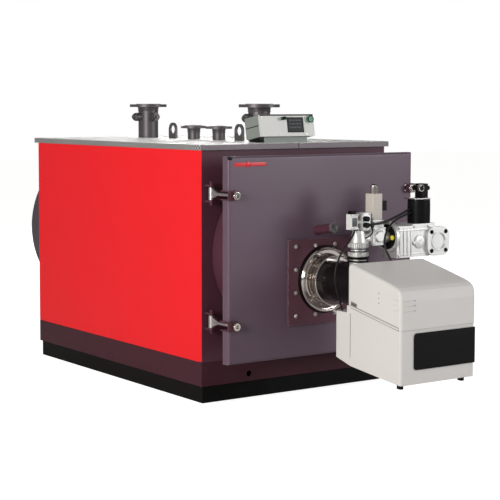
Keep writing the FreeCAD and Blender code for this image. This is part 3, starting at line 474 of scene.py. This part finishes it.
def at(x, y, z):
    """Point in metres from millimetres, with y measured from the front panel's face."""
    return Vector((x / 1000, FACE + y / 1000, z / 1000))


nozzle_paint = finish("nozzle_grey", (0.095, 0.085, 0.092), 0.40, 0.35, grain=160, depth=0.2, shade=0.3,
                      bare_and_highlight_colour=(0.42, 0.40, 0.40), edge_wear_and_highlight=0.85, width=0.004)
dress(nozzle_paint, "main_nozzles", "safety_nozzles", "lifting_eyes", "sensor_pockets")
for name, ring, places, z in (("main_neck_welds", 0.0650, MAIN_Y, 1575),
                              ("safety_neck_welds", 0.0385, SMALL_Y, 1446)):
    repeat(name, WELDS, [(at(0, y, z), TOP, SIDE) for y in places], {"Ring": ring, "Bead": 0.003},
           nozzle_paint, "boiler")


# ---------------------------------------------------------- control box
# A die-cast box with a plastic face, leaning back on a bracket. The face has
# a dark display, a green turning knob and a small black one, held by screws.

def join(bm, piece):
    """Adds one bmesh to another."""
    mesh = bpy.data.meshes.new("part")
    piece.to_mesh(mesh)
    piece.free()
    bm.from_mesh(mesh)
    bpy.data.meshes.remove(mesh)


def plate(bm, x0, x1, y0, y1, z0, z1, edge=0.8, move=None):
    """Flat or square stock between limits, in millimetres, with its edges broken."""
    piece = bmesh.new()
    bmesh.ops.create_cube(piece, size=1.0)
    for v in piece.verts:
        v.co = Vector(((x0 + x1) / 2 + v.co.x * (x1 - x0), (y0 + y1) / 2 + v.co.y * (y1 - y0),
                       (z0 + z1) / 2 + v.co.z * (z1 - z0)))
    bmesh.ops.bevel(piece, geom=piece.edges[:], offset=edge, segments=2, profile=0.7, affect="EDGES")
    for v in piece.verts:
        v.co = at(*v.co)
        if move:
            v.co = move @ v.co
    join(bm, piece)


def turned(bm, profile, place, axis, steps=48, closed=True, move=None):
    """Lathe work from (radius, distance along the axis) points in millimetres."""
    axis = Vector(axis).normalized()
    side = axis.orthogonal().normalized()
    other = axis.cross(side)
    piece = bmesh.new()
    rings = []
    for r, d in profile:
        ring = []
        for c, s in around(steps):
            p = at(*place) + (axis * d + (side * c + other * s) * r) / 1000
            ring.append(piece.verts.new(move @ p if move else p))
        rings.append(ring)
    pairs = list(zip(rings, rings[1:] + rings[:1])) if closed else list(zip(rings, rings[1:]))
    for a, b in pairs:
        for i in range(steps):
            j = (i + 1) % steps
            piece.faces.new((a[i], a[j], b[j], b[i]))
    if not closed:
        piece.faces.new(rings[0][::-1])
        piece.faces.new(rings[-1])
    bmesh.ops.recalc_face_normals(piece, faces=piece.faces[:])
    join(bm, piece)


def shaped(name, bm, material, body):
    """The piece that a bmesh holds."""
    mesh = bpy.data.meshes.new(name)
    bm.to_mesh(mesh)
    bm.free()
    return made(name, mesh, material, body)


face_y = 77
foot = at(0, face_y, 1436)
lean = Matrix.Translation(foot) @ Matrix.Rotation(radians(-10), 4, "X") @ Matrix.Translation(-foot)
outward, inward = lean.to_3x3() @ FRONT, lean.to_3x3() @ BACK
green_knob, black_knob = (156, face_y, 1531), (-34, face_y, 1536)
box_paint = finish("control_box_grey", (0.235, 0.258, 0.235), 0.38, grain=300, depth=0.08, shade=0.1,
                   bare_and_highlight_colour=(0.7, 0.7, 0.68), edge_wear_and_highlight=0.4, width=0.0025)
face_paint = finish("control_face_grey", (0.60, 0.60, 0.575), 0.34, grain=500, depth=0.05, shade=0.05,
                    edge=0.002)
bracket_paint = finish("bracket_green_grey", (0.20, 0.235, 0.21), 0.4, grain=300, depth=0.08, shade=0.2)
screen = finish("display_glass", (0.012, 0.015, 0.015), 0.35, grain=60, depth=0.0, shade=0.3, specular=0.15)
dark_plastic = finish("black_plastic", (0.005, 0.005, 0.005), 0.36, grain=700, depth=0.12, shade=0.2,
                      bare_and_highlight_colour=(0.035, 0.035, 0.035), edge_wear_and_highlight=0.3, width=0.001, specular=0.1)
green_plastic = finish("green_plastic", (0.010, 0.19, 0.095), 0.32, grain=700, depth=0.05, shade=0.1)
dress(box_paint, "control_box")
dress(face_paint, "control_face")
dress(bracket_paint, "control_bracket")
dress(screen, "control_display")
dress(green_plastic, "control_knobs")

bm = bmesh.new()
plate(bm, -186, 186, 79, 212, 1558.5, 1561, 1.0, lean)
plate(bm, -188.5, -187.2, 96, 221, 1498, 1503, 0.5, lean)
plate(bm, 187.2, 188.5, 96, 221, 1498, 1503, 0.5, lean)
plate(bm, -187, 187, 76.2, 78, 1552.5, 1560, 0.6, lean)
shaped("control_box_gasket", bm, dark_plastic, "boiler")
bm = bmesh.new()
for x0, x1, z0, z1 in ((0, 110, 1457, 1461), (0, 110, 1539, 1543), (-1, 3, 1458, 1542),
                       (107, 111, 1458, 1542)):
    plate(bm, x0, x1, 73.6, 77.4, z0, z1, 0.8, lean)
turned(bm, [(16.5, 0), (20.5, 0), (20.5, 2.6), (16.5, 3.4)], green_knob, outward, 40)
shaped("display_frame", bm, dark_plastic, "boiler")
bm = bmesh.new()
for z, count, wide in ((1522, 4, 15), (1502, 6, 9), (1482, 5, 11)):
    for i in range(count):
        x = 14 + i * (84 / count)
        plate(bm, x, x + wide, 74.2, 75.1, z, z + 9, 0.4, lean)
key_grey = finish("key_grey", (0.060, 0.07, 0.07), 0.4, grain=300, depth=0.02, shade=0.1)
shaped("display_keys", bm, key_grey, "boiler")
spots = [(lean @ at(x, face_y, z), outward, TOP)
         for x, z in ((-176, 1448), (176, 1448), (-176, 1546), (132, 1546), (-60, 1448), (130, 1448))]
bolts("control_face_screws", spots, 4.2, zinc, "boiler")


def grip_shape(tree, given):
    """One rib of a knob's grip."""
    rib = wired(tree, "GeometryNodeMeshCylinder",
                {"Vertices": 8, "Radius": given["Rib"], "Depth": given["Height"]})
    return moved(tree, rib.outputs["Mesh"], math(tree, "MULTIPLY", given["Height"], 0.5))


GRIPS = repeater("knob_grip", [("Rib", "Float", 0.0015), ("Height", "Float", 0.01)], grip_shape)


def grip(name, place, axis, radius, height, count, material, body, rib=0.0012):
    """Ribs round a knob of that radius, in millimetres."""
    side = Vector(axis).orthogonal().normalized()
    other = Vector(axis).cross(side)
    spots = [(place + (side * c + other * s) * radius / 1000, axis, side) for c, s in around(count)]
    repeat(name, GRIPS, spots, {"Rib": rib, "Height": height / 1000}, material, body)


grip("green_knob_grip", lean @ at(*green_knob), outward, 16.8, 17, 22, green_plastic, "boiler")
grip("black_knob_grip", lean @ at(*black_knob), outward, 8.9, 13.5, 14, dark_plastic,
     "boiler", 0.0008)
bm = bmesh.new()
turned(bm, [(9.3, 0), (9.3, 14.6), (8.2, 15.4)], black_knob, outward, 32, False)
for x in (-120, 120):
    turned(bm, [(13, 0), (13, 9), (10, 12), (10, 20), (6, 22)], (x, 214, 1478), inward, 24, False)
plate(bm, -184, -70, 104, 196, 1403, 1434, 5.0)
shaped("control_glands", bm, dark_plastic, "boiler")


# ---------------------------------------------------------------- door
# A steel tray with rounded front edges, filled with a white refractory board
# that is pinned in place. A braided rope runs round it as the seal.

# The door's strong light edge colour along its rounded edges is painted highlight over some wear.
door_paint = finish("door_purple_grey", (0.108, 0.068, 0.098), 0.36, grain=420, depth=0.06, shade=0.16,
                    bare_and_highlight_colour=(0.42, 0.38, 0.42), edge_wear_and_highlight=0.8, width=0.004, dust=0.03, dust_height=0.35, specular=0.4)
dress(door_paint, "door")
board = finish("refractory_board", (0.62, 0.58, 0.51), 0.9, grain=180, depth=0.5, shade=0.35, specular=0.2)
dress(board, "door_lining")
back_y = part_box("door")[1].y
SHELL_Z = 806
spots = []
for r, count in ((0.44, 12), (0.26, 6)):
    spots += [(Vector((r * c, back_y, SHELL_Z / 1000 + r * s)), BACK, TOP) for c, s in around(count, 0.5)]
bolts("board_pins", spots, 9.0, scale_steel, "door")
bm = bmesh.new()
seal_wide, seal_high, cord_r = 564, 492, 3.1
cross = [(seal_wide + cord_r * c, 1.3 + cord_r * s) for c, s in around(12)]
centre = Vector((0, 0, SHELL_Z / 1000))
oval = (Matrix.Translation(centre) @ Matrix.Diagonal((1, 1, seal_high / seal_wide, 1))
        @ Matrix.Translation(-centre))
turned(bm, cross, (0, -195, SHELL_Z), BACK, 160, move=oval)
rope = finish("rope_seal", (0.55, 0.53, 0.48), 0.95, grain=700, depth=0.9, shade=0.4)
shaped("door_rope_seal", bm, rope, "door")
badge = finish("badge_red", (0.60, 0.008, 0.014), 0.35, grain=300, depth=0.02, shade=0.05)
bm = bmesh.new()
plate(bm, -596, -392, -249.4, -246.6, 1290.5, 1310.5, 1.2)
turned(bm, [(15.5, 0), (15.5, 3.6), (14, 4.4)], (-510, -246, 1300.5), FRONT, 32, False)
shaped("door_badge", bm, badge, "door")
bm = bmesh.new()
plate(bm, -633, -611, -249, -238, 1325, 1342, 2.0)
shaped("door_corner_stop", bm, dark_plastic, "door")


# -------------------------------------------------------------- clamps
# Plated tie rods swing on pins in welded brackets and pull the door shut.
# Each rod's end is threaded and carries a polished ring nut over a lug.

rod_zinc = finish("bright_zinc", (0.50, 0.475, 0.47), 0.30, 1.0, grain=500, depth=0.05, shade=0.25,
                  edge=0.0015)
polished = finish("polished_steel", (0.60, 0.555, 0.525), 0.11, 1.0, grain=300, depth=0.01, shade=0.08,
                  edge=0.0015)
dress(rod_zinc, "tie_rods")
dress(polished, "clamp_nuts")
dress(casing_paint, "clamp_brackets", "door_lugs")
clamp_x, thread_pitch = 605, 2
spots, caps = [], []
for x in (-clamp_x, clamp_x):
    for z in (452, 1140):
        caps += [(at(x, -45, z + 54 * way), TOP * way, SIDE) for way in (-1, 1)]
        spots += [(at(x, -228 + thread_pitch * i, z), FRONT, TOP) for i in range(12)]
bolts("hinge_pin_caps", caps, 10.5, casing_paint, "boiler")
repeat("rod_threads", WELDS, spots, {"Ring": 0.0096, "Bead": 0.0008}, rod_zinc, "door")


# --------------------------------------------------------- sight tube
# A painted pipe stub that slopes up from the door, closed by a plated hexagon
# ring that clamps a round window of dark heat-proof glass.

glass = finish("sight_window", (0.14, 0.13, 0.14), 0.2, grain=60, depth=0.0, shade=0.2, coat=0.8)
dress(casing_paint, "sight_tube")
dress(zinc, "sight_ring")
dress(glass, "sight_glass")
repeat("sight_tube_weld", WELDS, [(at(-41, -247, 930), FRONT, TOP)], {"Ring": 0.0255, "Bead": 0.0035},
       casing_paint, "door")


# --------------------------------------------------- burner mounting
# A painted square plate bolted to the door, and a spun steel flange on it
# with a polished lip, held by four nuts. The neck is a gloss black tube.

# The plate's light edge colour is painted highlight along its edges over some wear.
plate_paint = finish("plate_purple", (0.104, 0.044, 0.062), 0.42, grain=420, depth=0.06, shade=0.12,
                     bare_and_highlight_colour=(0.42, 0.32, 0.38), edge_wear_and_highlight=0.9, width=0.004, specular=0.22)
dress(plate_paint, "burner_plate")
dress(polished, "burner_flange")
neck_black = finish("neck_black", (0.004, 0.003, 0.003), 0.25, grain=260, depth=0.08, shade=0.3, coat=0.15)
dress(neck_black, "burner_neck")
dress(scale_steel, "flame_tube")
FIRE_Z, plate_y = 662, -259
spots = []
for x in (-201, -67, 67, 201):
    spots += [(at(x, plate_y, FIRE_Z + z), FRONT, TOP) for z in (-189, 189)]
for z in (-63, 63):
    spots += [(at(x, plate_y, FIRE_Z + z), FRONT, TOP) for x in (-201, 201)]
bolts("plate_bolts", spots, 9.0, zinc, "door", thread=4.0)
nut_ring = 152
spots = [(at(nut_ring * c, -270, FIRE_Z + nut_ring * s), FRONT, TOP) for c, s in around(4, 0.5)]
bolts("flange_nuts", spots, 15.0, polished, "door", thread=6.0)
bm = bmesh.new()
turned(bm, [(180, 0), (186, 0), (186, 2.4), (180, 2.8)], (0, plate_y, FIRE_Z), FRONT, 96)
shaped("flange_gasket", bm, dark_plastic, "door")


# ---------------------------------------------------------- burner hood
# Two moulded plastic shells in warm white meet in a sloping lap joint. The
# hood has a latch near the rear, three grip ribs at the corner, a black panel.

hood_white = finish("hood_warm_white", (0.65, 0.630, 0.608), 0.42, grain=650, depth=0.09, shade=0.04,
                    edge=0.004, specular=0.4)
dress(hood_white, "burner_hood", "burner_housing")
gloss_black = finish("fascia_black", (0.002, 0.002, 0.002), 0.25, grain=500, depth=0.02, shade=0.2,
                     specular=0.15)
dress(gloss_black, "burner_fascia")
dress(dark_plastic, "burner_feet")
left, right = -199.0, 304.0
rear_y, front_y = -690, -1110


def seam_z(y):
    """Height of the sloping lap joint."""
    return 583 + (y - rear_y) * (500 - 583) / (front_y - rear_y)


def along_seam(bm, x0, x1, low, high, edge, ends=(-722, -1095)):
    """A strip on the hood's side that follows the seam, between heights above it."""
    piece = bmesh.new()
    verts = [piece.verts.new(at(x, y, seam_z(y) + dz)) for y in ends
             for x, dz in ((x0, low), (x0, high), (x1, high), (x1, low))]
    for quad in ((0, 1, 2, 3), (7, 6, 5, 4), (0, 4, 5, 1), (1, 5, 6, 2), (2, 6, 7, 3), (3, 7, 4, 0)):
        piece.faces.new([verts[i] for i in quad])
    bmesh.ops.recalc_face_normals(piece, faces=piece.faces[:])
    bmesh.ops.bevel(piece, geom=piece.edges[:], offset=edge, segments=2, profile=0.6, affect="EDGES")
    join(bm, piece)


bm = bmesh.new()
along_seam(bm, left - 6.0, left, 0, 10, 0.0014)
along_seam(bm, right, right + 6.0, 0, 10, 0.0014)
shaped("hood_lap_beads", bm, hood_white, "door")
# Dark grey strips under and over the lap bead are painted shade of the groove along the seam.
bm = bmesh.new()
along_seam(bm, left, left + 2.4, -5, 0, 0.0005)
along_seam(bm, right - 2.4, right, -5, 0, 0.0005)
along_seam(bm, left - 2.0, left, 10, 12.5, 0.0005)
seam_shade_grey = finish("seam_shade_grey", (0.17, 0.155, 0.145), 0.6, grain=400, depth=0.05, shade=0.1)
shaped("hood_seam_shade_strips", bm, seam_shade_grey, "door")


def slat_shape(tree, given):
    """A rib with rounded ends, lying along X."""
    ball = wired(tree, "GeometryNodeMeshUVSphere",
                 {"Segments": 12, "Rings": 8, "Radius": 0.5}).outputs["Mesh"]
    size = wired(tree, "ShaderNodeCombineXYZ", {0: given["Length"], 1: given["Width"], 2: given["Height"]})
    return moved(tree, ball, 0.0, size.outputs[0])


SLATS = repeater("moulded_ribs",
                 [("Length", "Float", 0.1), ("Width", "Float", 0.004), ("Height", "Float", 0.004)],
                 slat_shape)
front_heights = (647, 621.5, 595.5)
spots = [(at(-148, front_y, z), FRONT, SIDE) for z in front_heights]
repeat("hood_front_ribs", SLATS, spots, {"Length": 0.078, "Width": 0.005, "Height": 0.0032}, hood_white,
       "door")
spots = [(at(left - 1.0, -1072, z), -SIDE, BACK) for z in (652, 627, 601)]
repeat("hood_side_ribs", SLATS, spots, {"Length": 0.05, "Width": 0.005, "Height": 0.0032}, hood_white,
       "door")
spots = [(at(-108, front_y, z), FRONT, SIDE) for z in front_heights]
spots += [(at(left - 1.0, -944, z), -SIDE, BACK) for z in (672, 647, 622)]
repeat("hood_dimples", SLATS, spots, {"Length": 0.006, "Width": 0.006, "Height": 0.002}, dark_plastic,
       "door")
bm = bmesh.new()
along_seam(bm, left - 3.5, left, 12, 32, 0.0010, (-728, -774))
# This strip down the lower housing's side, where its rear part meets the main body, is painted shade of the
# groove there.
along_seam(bm, left + 0.4, left + 2.4, -262, -34, 0.0005, (-717, -720))
latch_grey = finish("latch_grey", (0.26, 0.25, 0.235), 0.4, grain=400, depth=0.05, shade=0.1)
shaped("hood_latch", bm, latch_grey, "door")
spots = [(at(left - 3.5, y, seam_z(y) + 22), -SIDE, TOP) for y in (-734, -742, -750, -758, -766)]
repeat("hood_latch_ribs", SLATS, spots, {"Length": 0.017, "Width": 0.004, "Height": 0.0028}, dark_plastic,
       "door")
spots = [(at(right + 1.0, y, z), SIDE, TOP)
         for y, z in ((-760, 640), (-1050, 600), (-760, 330), (-1050, 330))]
bolts("hood_screws", spots, 6.0, zinc, "door")


# ----------------------------------------------------------- gas inlet
# Plated steel unions on the neck: two knurled rings with black seals between
# them, under a cast aluminium cone that turns the gas run into the burner.

TRAIN_Y = -540
cast = finish("cast_aluminium", (0.71, 0.71, 0.69), 0.42, 0.75, grain=420, depth=0.45, shade=0.22,
              edge=0.0025, bare_and_highlight_colour=(0.86, 0.86, 0.84), edge_wear_and_highlight=0.6, width=0.003)
dress(cast, "gas_inlet", "valve_body", "gas_valve", "gas_flanges", "test_block")
grip("inlet_ring_grip", at(0, TRAIN_Y, 813), TOP, 54.2, 20, 44, rod_zinc, "door", 0.0016)
grip("inlet_union_grip", at(0, TRAIN_Y, 861), TOP, 53.2, 22, 32, rod_zinc, "door", 0.0022)
bm = bmesh.new()
turned(bm, [(47, 0), (57, 0), (57, 9), (47, 9)], (0, TRAIN_Y, 782), TOP, 64)
turned(bm, [(47, 0), (60, 0), (60, 12), (47, 12)], (0, TRAIN_Y, 798), TOP, 64)
for z in (838, 849):
    turned(bm, [(41.5, 0), (47, 0), (48, 2), (47, 4), (41.5, 4)], (0, TRAIN_Y, z), TOP, 48)
shaped("inlet_gaskets", bm, dark_plastic, "door")


# ----------------------------------------------------------- regulator
# The first valve: a ribbed cast body with a beige drive on top, a pressure
# switch and a test block on the left, all wired with black connectors.

beige = finish("beige_cover", (0.52, 0.48, 0.43), 0.42, grain=500, depth=0.08, shade=0.05, edge=0.002)
switch_white = finish("switch_cover", (0.66, 0.66, 0.64), 0.36, grain=500, depth=0.06, shade=0.06, edge=0.002)
dress(beige, "valve_actuator")
dress(polished, "actuator_cap")
dress(dark_plastic, "connectors", "test_knobs")
dress(switch_white, "pressure_switch")
grip("actuator_cap_grip", at(106, TRAIN_Y, 1146), TOP, 22.6, 30, 30, polished, "door", 0.0009)
bm = bmesh.new()
turned(bm, [(10.4, 0), (10.4, 6), (8.6, 7.6)], (106, TRAIN_Y, 1186), TOP, 32, False)
shaped("actuator_button", bm, dark_plastic, "door")
bm = bmesh.new()
for y0, y1 in ((-587.5, -584.4), (-495.6, -492.5)):
    for x in (78, 96, 114, 132):
        plate(bm, x, x + 5, y0, y1, 872, 956, 1.0)
plate(bm, 70, 142, -574, -506, 992, 1000, 1.5)
turned(bm, [(30, 0), (30, 8), (26, 12)], (108, -584, 914), FRONT, 40, False)
shaped("regulator_ribs", bm, cast, "door")
spots = [(at(x, -584, z), FRONT, TOP) for x, z in ((74, 876), (142, 876), (74, 953), (142, 953))]
spots += [(at(x, -568, z), FRONT, TOP) for x, z in ((10, 1036), (10, 954), (54, 1036), (54, 954))]
spots += [(at(x, -562, z), FRONT, TOP) for x, z in ((-63, 960), (-63, 1032), (-25, 960), (-25, 1032))]
bolts("regulator_screws", spots, 5.0, zinc, "door")
for i, z in enumerate((978, 1011)):
    grip("test_knob_grip_%d" % (i + 1), at(22, -568, z), FRONT, 13.0, 24, 16, dark_plastic,
         "door")
bm = bmesh.new()
plate(bm, -60, -28, -562.8, -561.8, 972, 1018, 0.4)
shaped("switch_label_plate", bm, key_grey, "door")


# ------------------------------------------------------- second valve
# A cast double valve bolted to the regulator by a round flange, with a square
# one that faces forward for the supply pipe. A black coil with its plug stands
# on top.

dress(dark_plastic, "gas_coil")
dress(rod_zinc, "coil_plate")
yellow = finish("yellow_plug", (0.80, 0.66, 0.05), 0.35, grain=500, depth=0.05, shade=0.1)
bm = bmesh.new()
turned(bm, [(13, 0), (13, 7), (9, 9)], (198.4, -589, 903), -SIDE, 24, False)
shaped("flange_plug", bm, yellow, "door")
bm = bmesh.new()
turned(bm, [(31.5, 0), (68, 0), (68, 1.2), (66.5, 1.8), (31.5, 1.8)], (200, TRAIN_Y, 905), -SIDE, 64)
shaped("round_flange_gasket", bm, dark_plastic, "door")
flange_ring = 75
spots = [(at(200, TRAIN_Y + flange_ring * c, 905 + flange_ring * s), -SIDE, TOP) for c, s in around(4, 0.5)]
bolts("round_flange_bolts", spots, 6.5, zinc, "door")
bm = bmesh.new()
for x in (236, 262, 288, 314):
    plate(bm, x, x + 7, -605, -599.4, 800, 950, 1.5)
plate(bm, 224, 470, -606.5, -599.4, 934, 944, 2.0)
plate(bm, 224, 440, -604, -599.4, 806, 814, 1.5)
turned(bm, [(36, 0), (36, 6), (31, 9), (14, 9), (12, 13)], (375, -600, 872), FRONT, 40, False)
port_x, port_z, port_ring = 501, 872, 72.5
turned(bm, [(45.5, 0), (52, 0), (52, 5), (45.5, 5)], (port_x, -619.6, port_z), FRONT, 64)
shaped("valve_ribs", bm, cast, "door")
spots = [(at(x, -600, z), FRONT, TOP)
         for x, z in ((232, 955), (340, 955), (440, 955), (232, 802), (440, 802))]
bolts("valve_screws", spots, 6.5, zinc, "door")
bolts("valve_plugs", [(at(335, -600, 868), FRONT, TOP)], 10.0, zinc, "door")
spots = [(at(port_x + port_ring * c, -619, port_z + port_ring * s), FRONT, TOP) for c, s in around(4, 0.5)]
bolts("port_bolts", spots, 9.5, dark_plastic, "door")
coil_x, coil_r, coil_z = 426, 61, 1032.5
spots = [(at(coil_x + coil_r * c, TRAIN_Y + coil_r * s, coil_z), Vector((c, s, 0)), TOP)
         for c, s in around(48)]
repeat("coil_flutes", SLATS, spots, {"Length": 0.118, "Width": 0.0035, "Height": 0.0018}, dark_plastic,
       "door")
bm = bmesh.new()
turned(bm, [(14.4, 0), (20.5, 0), (20.5, 12), (14.4, 14)], (411, -566, 1162), FRONT, 40)
shaped("gland_ring", bm, polished, "door")
bm = bmesh.new()
for z in (1121, 1137, 1153):
    plate(bm, 424, 464, -570, -567, z, z + 6, 1.0)
turned(bm, [(8, 0), (8, 3), (6, 5)], (444, -567, 1114), FRONT, 20, False)
shaped("plug_ribs", bm, dark_plastic, "door")


# ---------------------------------------------------------------- cables
# Four round black PVC leads join the pressure switch, the gas coil and the test
# block to each other and to the burner. Each is gripped in a gland at its ends.

rubber = finish("black_pvc", (0.005, 0.005, 0.005), 0.42, grain=900, depth=0.08, shade=0.3, specular=0.3)


def lead(name, node, diameter, points):
    """One lead along its points, in metres, in place of its plain CAD tube."""
    curve = bpy.data.curves.new(name, "CURVE")
    curve.dimensions = "3D"
    curve.resolution_u = 16
    curve.bevel_depth = diameter / 2
    curve.bevel_resolution = 5
    curve.use_fill_caps = True
    spline = curve.splines.new("NURBS")
    spline.points.add(len(points) - 1)
    for point, (x, y, z) in zip(spline.points, points):
        point.co = (x, y, z, 1)
    spline.order_u = 3
    spline.use_endpoint_u = True
    obj = bpy.data.objects.new(name, curve)
    bpy.context.scene.collection.objects.link(obj)
    curve.materials.append(rubber)
    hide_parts(node)
    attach(obj, "door")


lead("switch_lead", "switch_cable", 0.010, (
    (-0.030, -1.4995, 0.960), (-0.078, -1.5395, 0.925), (-0.150, -1.5475, 0.860), (-0.200, -1.5515, 0.790),
    (-0.213, -1.5535, 0.705), (-0.192, -1.5575, 0.620), (-0.168, -1.5725, 0.530)))
lead("coil_lead", "coil_cable", 0.013, (
    (0.370, -1.4875, 1.052), (0.283, -1.5125, 1.027), (0.197, -1.5395, 1.008), (0.119, -1.5495, 0.987),
    (0.054, -1.5475, 0.982), (0.018, -1.5355, 0.979)))
lead("limit_lead", "limit_cable", 0.011, (
    (0.370, -1.4995, 1.034), (0.273, -1.5225, 1.013), (0.192, -1.5505, 0.994), (0.118, -1.5815, 0.955),
    (0.075, -1.6075, 0.900), (0.070, -1.6275, 0.845), (0.092, -1.6595, 0.785)))
lead("test_lead", "test_cable", 0.008, (
    (0.050, -1.5135, 0.985), (0.054, -1.5455, 0.962), (0.044, -1.5475, 0.925), (0.020, -1.5075, 0.902)))


# ---------------------------------------------------------------- studio
# The boiler stands on a plain pale floor in a white studio. Big soft lamps
# stand at its front left, its front right and its rear, with a weak one above.

def camera():
    """Looks down a little at the front and the left side."""
    data = bpy.data.cameras.new("studio_camera")
    data.sensor_width = 36.0
    data.lens = 103.8
    data.shift_x = 0.0446
    data.shift_y = -0.0818
    data.clip_end = 100.0
    cam = bpy.data.objects.new("studio_camera", data)
    bpy.context.scene.collection.objects.link(cam)
    yaw, pitch = radians(34.5), radians(4.157)
    cam.matrix_world = (Matrix.Translation((-4.8781, -7.3636, 1.6146)) @ Matrix.Rotation(-yaw, 4, "Z")
                        @ Matrix.Rotation(pi / 2 - pitch, 4, "X"))
    bpy.context.scene.camera = cam


def soft_lamp(name, place, target, size, power, tint):
    """A round area lamp that shines from its place at a target, and isn't seen itself."""
    data = bpy.data.lights.new(name, "AREA")
    data.shape = "DISK"
    data.size = size
    data.energy = power
    data.color = tint
    lamp = bpy.data.objects.new(name, data)
    bpy.context.scene.collection.objects.link(lamp)
    lamp.location = place
    lamp.visible_camera = False
    lamp.rotation_mode = "QUATERNION"
    lamp.rotation_quaternion = (Vector(target) - Vector(place)).to_track_quat("-Z", "Y")


def studio_world():
    """White where the camera sees it, and dim where it lights the boiler."""
    world = bpy.data.worlds.new("studio")
    world.use_nodes = True
    tree = world.node_tree
    tree.nodes.clear()
    seen = wired(tree, "ShaderNodeLightPath").outputs["Is Camera Ray"]
    dim = wired(tree, "ShaderNodeBackground", {"Color": (1.0, 0.985, 0.97, 1), "Strength": 0.30})
    white = wired(tree, "ShaderNodeBackground", {"Color": (1, 1, 1, 1), "Strength": 1.0})
    mixed = wired(tree, "ShaderNodeMixShader", {0: seen, 1: dim.outputs[0], 2: white.outputs[0]})
    wired(tree, "ShaderNodeOutputWorld", {"Surface": mixed.outputs[0]})
    bpy.context.scene.world = world


camera()
soft_lamp("front_left_lamp", (-7.0, -3.6, 2.4), (0, 0, 0.7), 3.0, 410, (1.0, 0.98, 0.95))
soft_lamp("front_right_lamp", (4.6, -7.2, 2.6), (0.2, -1.0, 0.7), 2.8, 190, (0.96, 0.97, 1.0))
soft_lamp("top_lamp", (-0.6, 0.6, 5.2), (0, 0, 1.0), 3.0, 12, (1, 1, 1))
soft_lamp("rear_lamp", (5.6, 8.4, 2.8), (0, 0.2, 1.3), 2.6, 360, (1.0, 0.99, 0.98))
studio_world()
bpy.context.scene.view_settings.view_transform = "Standard"
floor_mesh = bpy.data.meshes.new("studio_floor")
half = 30
floor_mesh.from_pydata([(-half, -half, 0), (half, -half, 0), (half, half, 0), (-half, half, 0)], [],
                       [(0, 1, 2, 3)])
floor = bpy.data.objects.new("studio_floor", floor_mesh)
bpy.context.scene.collection.objects.link(floor)
pale = finish("pale_floor", (0.80, 0.795, 0.79), 0.75, depth=0.01, shade=0.01, specular=0.0)
lit_floor = pale.node_tree.nodes["Principled BSDF"].inputs
lit_floor["Emission Color"].default_value = (1.0, 1.0, 1.0, 1)

# The floor glows for the camera alone, and only outside the casing's outline.
tree = pale.node_tree
seen = wired(tree, "ShaderNodeLightPath").outputs["Is Camera Ray"]
place = wired(tree, "ShaderNodeTexCoord").outputs["Object"]
spread = wired(tree, "ShaderNodeVectorMath", {0: place}, operation="ABSOLUTE").outputs[0]
across = wired(tree, "ShaderNodeSeparateXYZ", {0: spread})
outside = math(tree, "MAXIMUM", ramp(tree, across.outputs[0], cad_high.x - 0.05, cad_high.x - 0.03),
               ramp(tree, across.outputs[1], -FACE - 0.02, -FACE))
glow = math(tree, "MULTIPLY", math(tree, "MULTIPLY", seen, outside), 0.75)
tree.links.new(glow, lit_floor["Emission Strength"])
floor_mesh.materials.append(pale)
